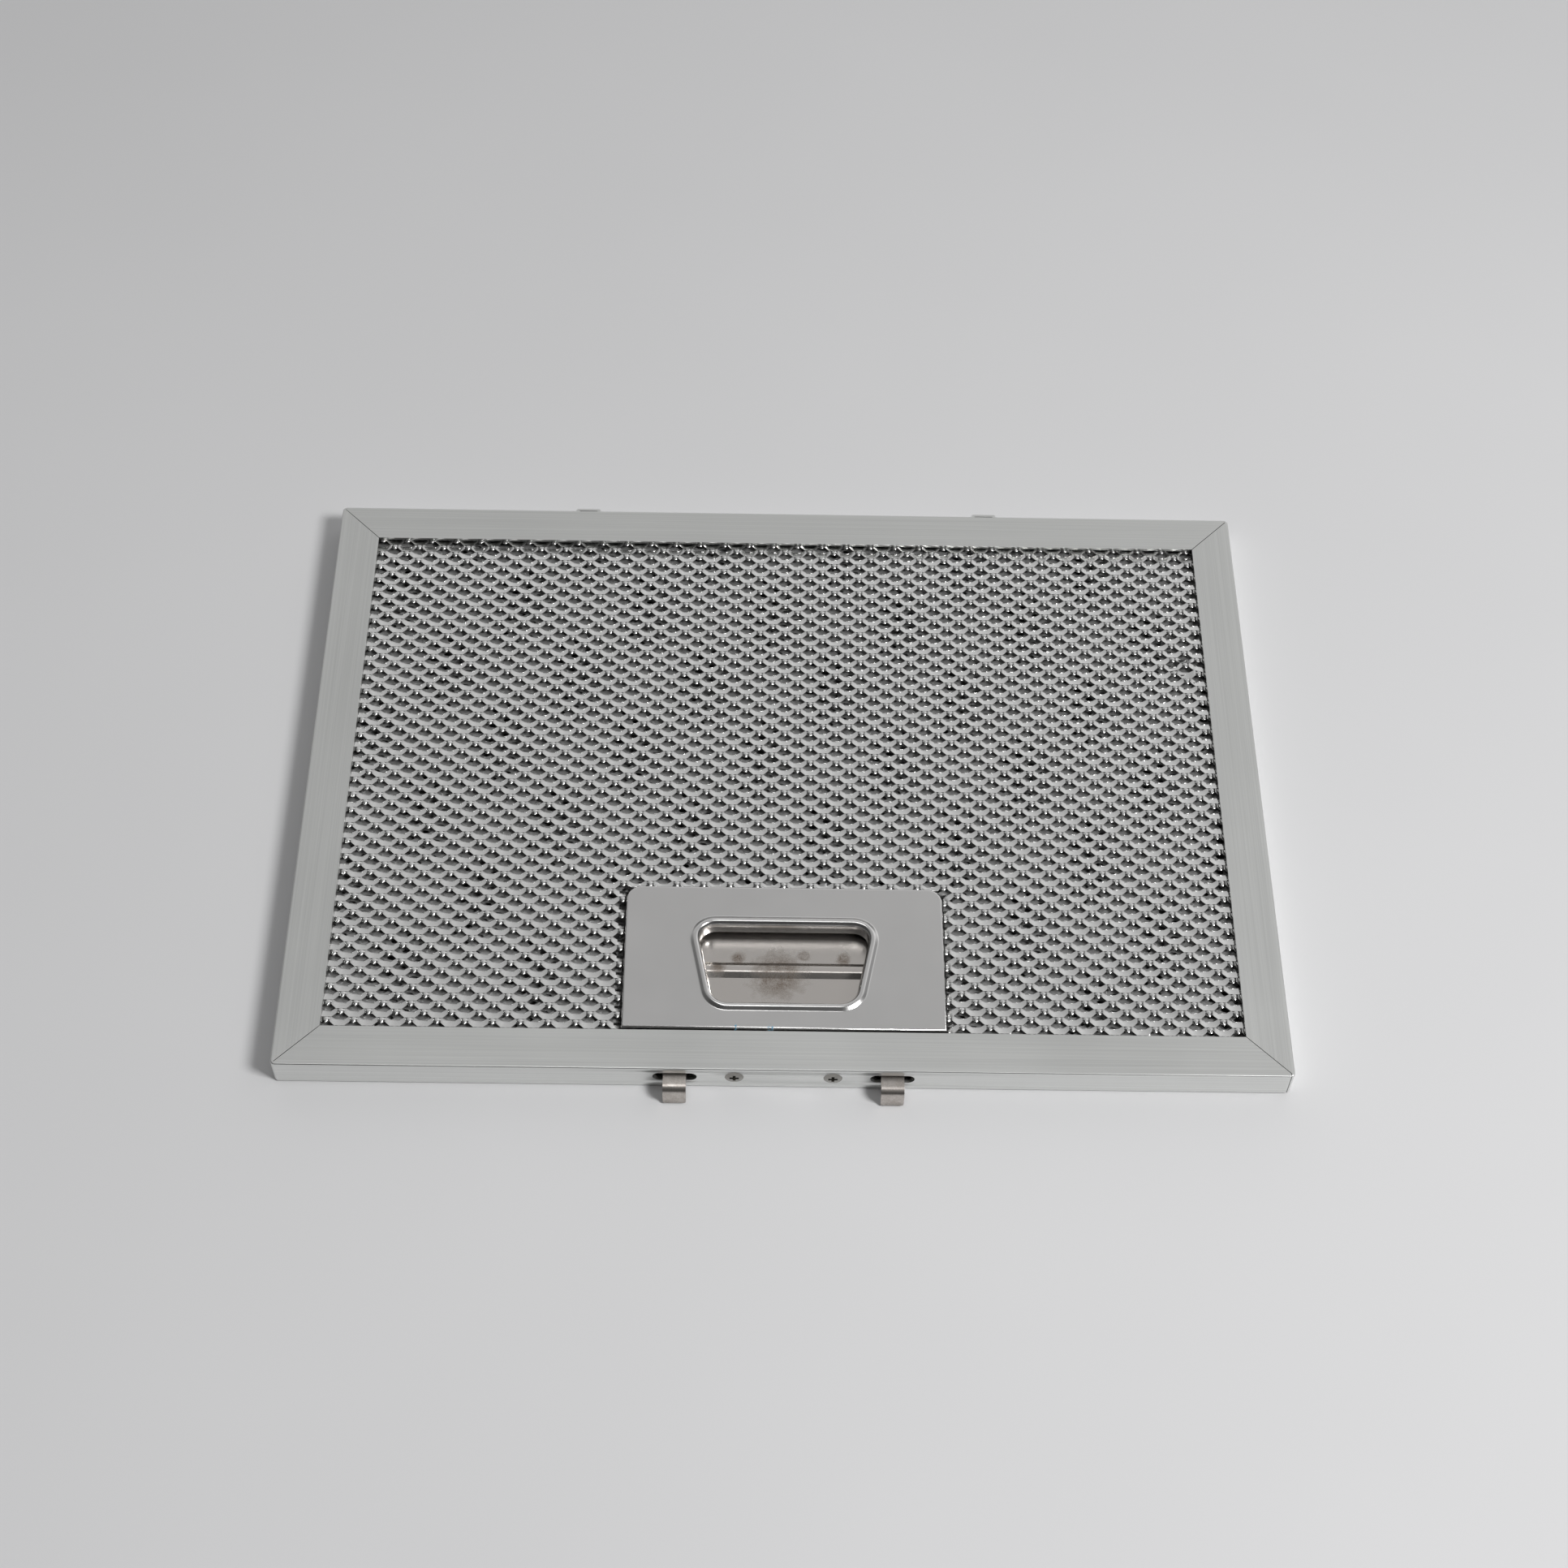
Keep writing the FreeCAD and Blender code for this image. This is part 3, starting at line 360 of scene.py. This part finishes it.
def slider_material():
    """Nickel plate with brown stains where grease and damp have marked it."""
    item, tree, shader = metal("stained nickel plate")
    place = place_of(tree)
    x, y = add(tree, "SeparateXYZ", {0: place})[:2]
    # Ragged blots about 3 mm wide with specks of 0.3 mm, dull where the plate between them shines
    blot = noise(tree, place, 0.35, 5.0, 0.7)
    speck = noise(tree, place, 3.0, 4.0, 0.7)
    stain = 0.0
    for spot_x, spot_y, radius in STAINS:
        offset_x = calc(tree, "SUBTRACT", x, spot_x)
        offset_y = calc(tree, "SUBTRACT", y, spot_y)
        offset = add(tree, "CombineXYZ", {0: offset_x, 1: offset_y})[0]
        reach = add(tree, "VectorMath", {0: offset}, operation="LENGTH")["Value"]
        edge = calc(tree, "ADD", reach, span(tree, blot, 0.3, 0.7, -0.35 * radius, 0.35 * radius))
        stain = calc(tree, "MAXIMUM", span(tree, edge, radius, 0.55 * radius), stain)
    tongues = span(tree, y, TARNISH_START, TARNISH_FULL, 0.0, 0.5)
    marks = calc(tree, "MULTIPLY", calc(tree, "MAXIMUM", stain, tongues),
                 span(tree, calc(tree, "ADD", blot, speck), 0.8, 1.2, 0.25, 0.95))
    connect(tree, shader, Base_Color=blend(tree, marks, linear("#dcd7d2"), linear("#77685b")),
            Roughness=span(tree, marks, 0.0, 1.0, 0.25, 0.45), Normal=bump(tree, speck, 0.04, 0.02))
    return item


def plain_metal(name, dark, light, low, high):
    """Metal whose tone and gloss cloud over about 1.7 mm."""
    item, tree, shader = metal(name)
    cloud = noise(tree, place_of(tree), 0.6)
    connect(tree, shader, Base_Color=blend(tree, cloud, linear(dark), linear(light)),
            Roughness=span(tree, cloud, 0.3, 0.7, low, high))
    return item


def studio_world():
    """Pale studio: light behind the part above a dim horizon, darker in front and overhead."""
    world = bpy.data.worlds.new("studio")
    world.use_nodes = True
    tree = world.node_tree
    x, y, z = add(tree, "SeparateXYZ", {0: add(tree, "TexCoord", {})["Generated"]})[:3]
    rear = span(tree, y, -0.2, 0.35)
    sides = span(tree, calc(tree, "ABSOLUTE", x), 0.66, 0.86, 1.0, 0.05)
    tilt = calc(tree, "ADD", 1.0, calc(tree, "MULTIPLY", x, 0.55))
    height = calc(tree, "MULTIPLY", span(tree, z, 0.3, 0.95, 0.70, 0.31), tilt)
    horizon = span(tree, z, 0.1, 0.3, 0.08, 1.0)
    level = rear
    for factor in (sides, height, horizon):
        level = calc(tree, "MULTIPLY", level, factor)
    tree.nodes["Background"].inputs["Color"].default_value = linear("#ffffff")
    tree.links.new(calc(tree, "ADD", level, 0.05), tree.nodes["Background"].inputs["Strength"])
    return world


def floor_material():
    """Pale painted board with a soft mottling about 250 mm wide."""
    item, tree, shader = metal("pale painted board")
    cloud = noise(tree, place_of(tree), 0.004, 3.0)
    connect(tree, shader, Base_Color=blend(tree, cloud, linear("#d6d6d7"), linear("#dededf")), Metallic=0.0,
            Roughness=0.6)
    return item


# Expanded sheets


def strand(steps):
    """Two staggered strands, one period long: ribbons with a raised knuckle, thin at their rear edges."""
    stations = [(points, 0, 1) for points in steps]
    stations += [(points, LONG_WAY, -1) for points in reversed(steps)]
    pitch = LONG_WAY / (len(stations) - 1)
    clear_selection()
    bpy.ops.mesh.primitive_grid_add(x_subdivisions=len(stations) - 1, y_subdivisions=3, size=1)
    bpy.context.object.scale = (LONG_WAY * MM, 3 * MM, 1)
    bpy.context.object.location.x = LONG_WAY / 2 * MM
    item = added("strand")
    for column, ((rear, ridge, front), base, side) in enumerate(stations):
        underside = (front[0], front[1] + STRAND_UNDERCUT, front[2] - STRAND_SHEET)
        for row, (x, y, z) in zip((1.5, 0.5, -0.5, -1.5), (rear, ridge, front, underside)):
            start = Vector((column * pitch, row, 0)) * MM
            pick(item, "VERT", lambda v: (v.co - start).length < 0.001 * MM)
            move(base + side * x - column * pitch, y - row, z)
    pick(item, "EDGE", lambda e: e.is_boundary and not near(e.verts[0].co.x, e.verts[1].co.x))
    bpy.ops.mesh.bridge_edge_loops()
    finish_mesh(item, 80)
    # A sharp foot around the knuckle
    low, high = KNUCKLE_FOOT
    pick(item, "EDGE", lambda e: all(low < min(v.co.x / MM, LONG_WAY - v.co.x / MM) < high for v in e.verts))
    bpy.ops.mesh.mark_sharp()
    pick(item, "VERT", lambda v: True)
    bpy.ops.transform.rotate(value=math.radians(STRAND_TILT), orient_axis="X", center_override=(0, 0, 0))
    bpy.ops.mesh.duplicate_move(TRANSFORM_OT_translate={"value": (LONG_WAY / 2 * MM, -ROW * MM, 0)})
    bpy.ops.object.mode_set(mode="OBJECT")
    return item


def foil_strand():
    """Two staggered strands of expanded foil, one period long: zigzag ribbons with a narrow turned rim."""
    clear_selection()
    bpy.ops.mesh.primitive_grid_add(x_subdivisions=4, y_subdivisions=2, size=1)
    bpy.context.object.scale = (4 * MM, 2 * MM, 1)
    item = added("foil_strand")
    for column, (x, side) in enumerate(FOIL_STATIONS):
        for row, (y, z) in zip((1, 0, -1), FOIL_SECTION):
            start = Vector((column - 2, row, 0)) * MM
            pick(item, "VERT", lambda v: (v.co - start).length < 0.001 * MM)
            move(x - column + 2, y - row + side * FOIL_SWING, z)
    pick(item, "EDGE", lambda e: e.is_boundary and not near(e.verts[0].co.x, e.verts[1].co.x))
    bpy.ops.mesh.bridge_edge_loops()
    finish_mesh(item, 8)
    pick(item, "VERT", lambda v: True)
    bpy.ops.mesh.duplicate_move(TRANSFORM_OT_translate={"value": (LONG_WAY / 2 * MM, -ROW * MM, 0)})
    bpy.ops.object.mode_set(mode="OBJECT")
    return item


def repeated(item, name, columns, rows):
    """A copy of a strand unit, repeated along X and towards the rear."""
    sheet = copy_of(item, name)
    lays = (("columns", columns, (LONG_WAY * MM, 0, 0)), ("rows", rows, (0, 2 * ROW * MM, 0)))
    for step, count, offset in lays:
        apply_modifier(sheet, step, "ARRAY", count=count, use_relative_offset=False, use_constant_offset=True,
                       constant_offset_displace=offset, use_merge_vertices=step == "columns",
                       merge_threshold=0.01 * MM)
    return sheet


def trim(sheet, reach):
    """Cuts a sheet to the frame's window, grown by a reach that goes under the flanges."""
    half_x, half_y = HALF_X - FLANGE + reach, HALF_Y - FLANGE + reach
    for place, normal in (((-half_x, 0), (-1, 0)), ((half_x, 0), (1, 0)),
                          ((0, MIDDLE_Y - half_y), (0, -1)), ((0, MIDDLE_Y + half_y), (0, 1))):
        pick(sheet, "FACE", lambda f: True)
        bpy.ops.mesh.bisect(plane_co=(place[0] * MM, place[1] * MM, 0), plane_no=(*normal, 0),
                            use_fill=True, clear_outer=True)
    bpy.ops.object.mode_set(mode="OBJECT")


def notch(sheet):
    """Cuts a sheet out around the handle and closes the cut ends."""
    half_x, rear = COVER_X + HANDLE_GAP, COVER_REAR + HANDLE_GAP
    for place, normal in (((-half_x, 0), (-1, 0)), ((half_x, 0), (1, 0)), ((0, rear), (0, 1))):
        pick(sheet, "FACE", lambda f: f.calc_center_median().y < (rear + CUT_Y) * MM
             and abs(f.calc_center_median().x) < (half_x + CUT_X) * MM)
        bpy.ops.mesh.bisect(plane_co=(place[0] * MM, place[1] * MM, 0), plane_no=(*normal, 0))
    pick(sheet, "FACE", lambda f: f.calc_center_median().y < rear * MM
         and abs(f.calc_center_median().x) < half_x * MM)
    bpy.ops.mesh.delete(type="FACE")
    pick(sheet, "EDGE", lambda e: e.is_boundary)
    bpy.ops.mesh.fill_holes(sides=0)
    pick(sheet, "VERT", lambda v: v.is_boundary)
    bpy.ops.mesh.merge(type="COLLAPSE")
    bpy.ops.object.mode_set(mode="OBJECT")


def turned(item, degrees, x, y, z):
    """Turns a sheet about the vertical and moves it."""
    pick(item, "VERT", lambda v: True)
    bpy.ops.transform.rotate(value=math.radians(-degrees), orient_axis="Z", center_override=(0, 0, 0))
    move(x, y, z)
    bpy.ops.object.mode_set(mode="OBJECT")


def dress(item, material, slot, body, *nodes):
    """Gives a finished piece its material and its body, and hides the CAD nodes it stands for. The slot is
    not used.
    """
    item.data.materials.clear()
    item.data.materials.append(material)
    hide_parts(*nodes)
    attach(item, body)


def build_sheets():
    """Front and rear mesh from one strand each, and four foil layers between them."""
    first_x = MESH_X - LONG_WAY * math.ceil((MESH_X + HALF_X) / LONG_WAY)
    first_y = MESH_Y - 2 * ROW * math.floor((MESH_Y - MIDDLE_Y + HALF_Y - MESH_START) / (2 * ROW))
    unit, back_unit = strand(STRAND_STEPS), strand(STRAND_STEPS[:1] + STRAND_STEPS[2:])
    front = repeated(unit, "front_mesh_sheet", MESH_COLUMNS, MESH_ROWS)
    turned(front, 0, first_x, first_y, MESH_Z)
    trim(front, MESH_TUCK)
    notch(front)
    for reach, lift in DENT_STEPS:
        pick(front, "VERT", lambda v: math.dist(v.co.xy, DENT) < reach * MM)
        move(DENT_LEAN[0] * lift, DENT_LEAN[1] * lift, lift)
    bpy.ops.object.mode_set(mode="OBJECT")
    rear = repeated(back_unit, "rear_mesh_sheet", MESH_COLUMNS, MESH_ROWS)
    turned(rear, 0, first_x, first_y, MESH_Z)
    pick(rear, "VERT", lambda v: True)
    bpy.ops.transform.rotate(value=math.pi, orient_axis="X",
                             center_override=(0, MIDDLE_Y * MM, MIDDLE_Z * MM))
    trim(rear, MESH_TUCK)
    bright = mesh_material()
    dress(front, bright, "mesh_aluminium", "filter", "front_mesh")
    dress(rear, bright, "mesh_aluminium", "filter", "rear_mesh")
    thin = foil_strand()
    foil = foil_material()
    for i, (turn, x, y) in enumerate(FOIL_LAYS):
        layer = repeated(thin, f"foil_sheet_{i + 1}", FOIL_COLUMNS, FOIL_ROWS)
        pick(layer, "VERT", lambda v: True)
        move(-LONG_WAY * FOIL_COLUMNS / 2, -ROW * FOIL_ROWS, 0)
        turned(layer, turn, x, y + MIDDLE_Y, FOIL_LOW + FOIL_STEP * i)
        trim(layer, FOIL_TUCK)
        notch(layer)
        dress(layer, foil, "foil_aluminium", "filter", f"foil_layer_{i + 1}")
    for item in (unit, back_unit, thin):
        bpy.data.objects.remove(item)


# Handle, latch and frame


def build_cover():
    """Drawn lid with rounded edges and a beaded rim around the finger opening."""
    depth = COVER_REAR - COVER_FRONT
    mid_z = (COVER_TOP + TRAY_LOW) / 2
    lip_z = (COVER_TOP - COVER_LIP) * MM
    clear_selection()
    bpy.ops.mesh.primitive_cube_add(size=1, location=(0, (COVER_FRONT + depth / 2) * MM, mid_z * MM))
    bpy.context.object.scale = (2 * COVER_X * MM, depth * MM, (COVER_TOP - TRAY_LOW) * MM)
    item = added("handle_cover_lid")
    pick(item, "EDGE", lambda e: all(near(v.co.y, COVER_REAR * MM) for v in e.verts)
         and near(middle(e).z, mid_z * MM))
    bpy.ops.mesh.bevel(offset=COVER_CORNER * MM, segments=10, affect="EDGES")
    pick(item, "EDGE", lambda e: all(near(v.co.z, COVER_TOP * MM) for v in e.verts))
    bpy.ops.mesh.bevel(offset=COVER_EDGE * MM, segments=5, affect="EDGES")
    pick(item, "FACE", lambda f: f.normal.z > 0.999)
    inset(FLAT_RING, 0)
    # The flat and the underside are opened, and the front wall below its lip
    pick(item, "FACE", lambda f: abs(f.normal.z) > 0.999 and f.calc_area() > 1e-3)
    bpy.ops.mesh.delete(type="ONLY_FACE")
    pick(item, "FACE", lambda f: f.normal.y < -0.999)
    bpy.ops.mesh.bisect(plane_co=(0, 0, lip_z), plane_no=(0, 0, 1))
    pick(item, "FACE", lambda f: f.normal.y < -0.999 and f.calc_center_median().z < lip_z)
    bpy.ops.mesh.delete(type="ONLY_FACE")
    # Trapezoid around the bead, with round corners
    slope = (WELL_REAR_X - WELL_FRONT_X) / (WELL_REAR - WELL_FRONT)
    front, rear = WELL_FRONT - BEAD_REACH, WELL_REAR + BEAD_REACH
    front_x = WELL_FRONT_X + BEAD_REACH * (math.hypot(1, slope) - slope)
    rear_x = WELL_REAR_X + BEAD_REACH * (math.hypot(1, slope) + slope)
    place = Vector((0, (front + rear) / 2, COVER_TOP)) * MM
    bpy.ops.mesh.select_all(action="DESELECT")
    bpy.ops.mesh.primitive_plane_add(size=1, location=place)
    bpy.ops.transform.resize(value=(2 * rear_x * MM, (rear - front) * MM, 1), center_override=place)
    for side in (-1, 1):
        corner = Vector((side * rear_x, front, COVER_TOP)) * MM
        pick(item, "VERT", lambda v: (v.co - corner).length < 0.01 * MM)
        move(side * (front_x - rear_x), 0, 0)
    for y, lean in ((front, 1), (rear, -1)):
        half_angle = (math.pi / 2 + lean * math.atan(slope)) / 2
        pick(item, "VERT", lambda v: near(v.co.y, y * MM) and near(v.co.z, COVER_TOP * MM) and v.is_boundary
             and abs(v.co.x) < (rear_x + 0.1) * MM)
        bpy.ops.mesh.bevel(offset=(WELL_CORNER + BEAD_REACH) / math.tan(half_angle) * MM, segments=10,
                           affect="VERTICES")
    # Bead and rim, drawn inwards from the trapezoid, then the flat filled in around it
    pick(item, "FACE", lambda f: f.normal.z > 0.999 and f.calc_area() > 5e-4)
    for width, rise in BEAD_STEPS:
        inset(width, rise)
    extrude(0, 0, WELL_LOW - COVER_TOP - sum(rise for width, rise in BEAD_STEPS))
    bpy.ops.mesh.delete(type="ONLY_FACE")
    pick(item, "EDGE", lambda e: e.is_boundary and all(near(v.co.z, COVER_TOP * MM) for v in e.verts))
    bpy.ops.mesh.fill(use_beauty=True)
    finish_mesh(item, 45)
    apply_modifier(item, "sheet", "SOLIDIFY", thickness=COVER_SHEET * MM, offset=-1, use_even_offset=True)
    finish_mesh(item, 45)
    dress(item, cover_material(), "cover_steel", "filter", "handle_cover")


def build_slider():
    """Pressed plate with a finger rib, an upstand for the springs and two arms that end in hooked tongues."""
    plate_middle = Vector((0, (PLATE_FRONT + PLATE_REAR) / 2, PLATE_TOP)) * MM
    clear_selection()
    bpy.ops.mesh.primitive_plane_add(size=1, location=plate_middle)
    bpy.context.object.scale = (2 * PLATE_X * MM, (PLATE_REAR - PLATE_FRONT) * MM, 1)
    item = added("latch_slider_plate")
    cuts = [RIB_X, *[TONGUE_X + side * width / 2 for side in (-1, 1) for width in (ARM, TONGUE)]]
    for x in [side * cut for cut in cuts for side in (-1, 1)]:
        pick(item, "FACE", lambda f: True)
        bpy.ops.mesh.bisect(plane_co=(x * MM, 0, 0), plane_no=(1, 0, 0))
    for y in (RIB_FRONT, RIB_REAR, PLATE_REAR - UPSTAND_STRIP):
        pick(item, "FACE", lambda f: True)
        bpy.ops.mesh.bisect(plane_co=(0, y * MM, 0), plane_no=(0, 1, 0))
    # Rib
    rib_middle = Vector((0, (RIB_FRONT + RIB_REAR) / 2, RIB_TOP)) * MM
    pick(item, "FACE", lambda f: abs(f.calc_center_median().x) < RIB_X * MM
         and RIB_FRONT * MM < f.calc_center_median().y < RIB_REAR * MM)
    extrude(0, 0, RIB_TOP - PLATE_TOP)
    narrower = ((RIB_X - RIB_SLOPE) / RIB_X, 1 - 2 * RIB_SLOPE / (RIB_REAR - RIB_FRONT), 1)
    bpy.ops.transform.resize(value=narrower, center_override=rib_middle)
    pick(item, "EDGE", lambda e: all(near(v.co.z, RIB_TOP * MM) for v in e.verts)
         and sum(f.normal.z < 0.99 for f in e.link_faces) == 1)
    bpy.ops.mesh.bevel(offset=RIB_ROUND * MM, segments=3, affect="EDGES")
    # Upstand, behind a narrow strip that keeps the shading of its bend off the plate
    pick(item, "EDGE", lambda e: all(near(v.co.y, PLATE_REAR * MM) for v in e.verts))
    extrude(0, 0, UPSTAND_TOP - PLATE_TOP)
    pick(item, "EDGE", lambda e: all(near(v.co.y, PLATE_REAR * MM) and near(v.co.z, PLATE_TOP * MM)
                                     for v in e.verts))
    bpy.ops.mesh.bevel(offset=UPSTAND_BEND * MM, segments=5, affect="EDGES")
    # Arms with their joggle, and tongues bent down at their ends
    pick(item, "EDGE", lambda e: all(near(v.co.y, PLATE_FRONT * MM) for v in e.verts)
         and abs(abs(middle(e).x) - TONGUE_X * MM) < ARM / 2 * MM)
    extrude(0, -JOGGLE, ARM_TOP - PLATE_TOP)
    extrude(0, ARM_END - PLATE_FRONT + JOGGLE, 0)
    pick(item, "EDGE", lambda e: abs(e.verts[0].co.x - e.verts[1].co.x) > 0.1 * MM and (
        all(near(v.co.y, (PLATE_FRONT - JOGGLE) * MM) for v in e.verts)
        or all(near(v.co.y, PLATE_FRONT * MM) and not v.is_boundary for v in e.verts)))
    bpy.ops.mesh.bevel(offset=JOGGLE_ROUND * MM, segments=3, affect="EDGES")
    pick(item, "EDGE", lambda e: all(near(v.co.y, ARM_END * MM) for v in e.verts)
         and abs(abs(middle(e).x) - TONGUE_X * MM) < TONGUE / 2 * MM)
    bend_start = TONGUE_TIP + TONGUE_LIP + TONGUE_BEND
    extrude(0, bend_start - ARM_END, 0)
    turn = math.pi / 2 / BEND_STEPS
    for i in range(BEND_STEPS):
        swing = TONGUE_BEND * (math.sin((i + 1) * turn) - math.sin(i * turn))
        drop = TONGUE_BEND * (math.cos((i + 1) * turn) - math.cos(i * turn))
        extrude(0, -swing, drop)
    extrude(0, 0, TONGUE_LOW + TONGUE_FLARE - ARM_TOP + TONGUE_BEND)
    for share in (0.4, 0.6):
        extrude(0, -share * TONGUE_LIP, -TONGUE_FLARE / 2)
    pick(item, "VERT", lambda v: v.is_boundary and near(v.co.z, TONGUE_LOW * MM)
         and abs(abs(abs(v.co.x) - TONGUE_X * MM) - TONGUE / 2 * MM) < 0.01 * MM)
    bpy.ops.mesh.bevel(offset=TONGUE_CORNER * MM, segments=3, affect="VERTICES")
    finish_mesh(item, 25)
    apply_modifier(item, "sheet", "SOLIDIFY", thickness=PLATE_SHEET * MM, offset=-1, use_even_offset=True)
    finish_mesh(item, 25)
    dress(item, slider_material(), "slider_steel", "latch", "latch_slider")


def build_screws():
    """Countersunk screws with a cross recess, one modelled and copied."""
    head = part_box("handle_screws")[0][1]
    face = Vector((SCREW_X * MM, head, SCREW_Z * MM))
    clear_selection()
    bpy.ops.mesh.primitive_cone_add(vertices=40, radius1=SCREW_HEAD / 2 * MM, radius2=SCREW_SHANK / 2 * MM,
                                    depth=SCREW_CONE * MM, rotation=(-math.pi / 2, 0, 0),
                                    location=(SCREW_X * MM, head + SCREW_CONE / 2 * MM, SCREW_Z * MM))
    item = added("handle_screw_right")
    pick(item, "FACE", lambda f: f.normal.y > 0.99)
    extrude(0, SCREW_LENGTH - SCREW_CONE, 0)
    inset(*SCREW_TIP)
    pick(item, "FACE", lambda f: f.normal.y < -0.99)
    for width, rise in SCREW_DOME:
        inset(width, rise)
    finish_mesh(item, 40)
    clear_selection()
    bpy.ops.mesh.primitive_cube_add(size=1, location=face)
    bpy.context.object.scale = (CROSS_BLADE * MM, CROSS_DEPTH * MM, CROSS_BLADE * MM)
    cutter = added("cross")
    for x, z in ((1, 0), (-1, 0), (0, 1), (0, -1)):
        pick(cutter, "FACE", lambda f: f.normal.dot(Vector((x, 0, z))) > 0.947
             and (f.calc_center_median() - face).length < CROSS_BLADE * MM)
        extrude(x * CROSS_ARM, 0, z * CROSS_ARM)
    apply_modifier(item, "recess", "BOOLEAN", operation="DIFFERENCE", object=cutter, solver="EXACT")
    bpy.data.objects.remove(cutter)
    finish_mesh(item, 30)
    twin = copy_of(item, "handle_screw_left")
    turn_mesh(twin, Matrix.Translation((-2 * SCREW_X * MM, 0, 0)))
    bright = plain_metal("nickel plated steel", "#8c8a85", "#a5a39e", 0.12, 0.18)
    for screw in (item, twin):
        dress(screw, bright, "screw_steel", "filter", "handle_screws")


def build_springs():
    """Open coils of round wire between the slider's upstand and the tray's rear wall."""
    drawn = plain_metal("drawn spring wire", "#8b8b89", "#a5a5a2", 0.25, 0.35)
    for side, name in ((-1, "left_spring"), (1, "right_spring")):
        clear_selection()
        bpy.ops.mesh.primitive_circle_add(vertices=10, radius=SPRING_WIRE / 2 * MM,
                                          location=((SPRING_OUTER - SPRING_WIRE) / 2 * MM, 0, 0))
        item = added(name + "_coil")
        length = SPRING_REAR - SPRING_FRONT - SPRING_WIRE
        apply_modifier(item, "turns", "SCREW", axis="Y", angle=2 * math.pi, iterations=SPRING_TURNS, steps=24,
                       screw_offset=length / SPRING_TURNS * MM, use_merge_vertices=True)
        pick(item, "EDGE", lambda e: e.is_boundary)
        bpy.ops.mesh.edge_face_add()
        bpy.ops.mesh.select_all(action="SELECT")
        move(side * SPRING_X, SPRING_FRONT + SPRING_WIRE / 2, SPRING_Z)
        finish_mesh(item, 40)
        dress(item, drawn, "spring_steel", "filter", name)
        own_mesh(item)


def build_frame():
    """The folded channel, with its facets merged and its bends shaded round."""
    item = copy_of(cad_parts["frame"], "frame_channel")
    item.parent = None
    take(item)
    bpy.ops.object.mode_set(mode="EDIT")
    bpy.ops.mesh.select_all(action="SELECT")
    bpy.ops.mesh.remove_doubles(threshold=0.001 * MM)
    bpy.ops.mesh.dissolve_limited(angle_limit=math.radians(0.5))
    bpy.ops.object.mode_set(mode="OBJECT")
    bpy.ops.object.shade_smooth_by_angle(angle=math.radians(35))
    dress(item, frame_material(), "frame_aluminium", "filter", "frame")


def dress_hidden():
    """Materials of the CAD pieces that stay: the tray and the corner key."""
    finishes = (
        ("latch_tray", plain_metal("bright rolled steel", "#a9a9a7", "#bdbdbb", 0.22, 0.34)),
        ("corner_key", plain_metal("mill aluminium", "#adaeac", "#c0c1bf", 0.3, 0.42)),
    )
    for node, material in finishes:
        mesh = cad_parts[node].data
        mesh.materials.clear()
        mesh.materials.append(material)


def build_stage():
    """Pale floor, soft lights and the photo's camera."""
    clear_selection()
    bpy.ops.mesh.primitive_plane_add(size=FLOOR_SIZE, location=(0, FLOOR_Y, FLOOR_Z))
    floor = added("floor")
    floor.data.materials.append(floor_material())
    for name, way, reach, width, depth, power in LIGHTS:
        spot = Vector(way).normalized() * reach
        bpy.ops.object.light_add(type="AREA", location=spot)
        light = bpy.context.object
        light.name = name
        light.rotation_euler = spot.to_track_quat("Z", "Y").to_euler()
        light.data.shape = "RECTANGLE"
        light.data.size, light.data.size_y = width, depth
        light.data.energy = power
    bpy.context.scene.world = studio_world()
    camera = bpy.data.cameras.new("camera")
    camera.lens = CAMERA_LENS
    item = bpy.data.objects.new("camera", camera)
    item.location = CAMERA_PLACE
    item.rotation_euler = [math.radians(angle) for angle in CAMERA_TURN]
    bpy.context.scene.collection.objects.link(item)
    bpy.context.scene.camera = item
    bpy.context.scene.view_settings.view_transform = "Standard"


build_frame()
build_sheets()
build_cover()
build_slider()
build_screws()
build_springs()
dress_hidden()
build_stage()
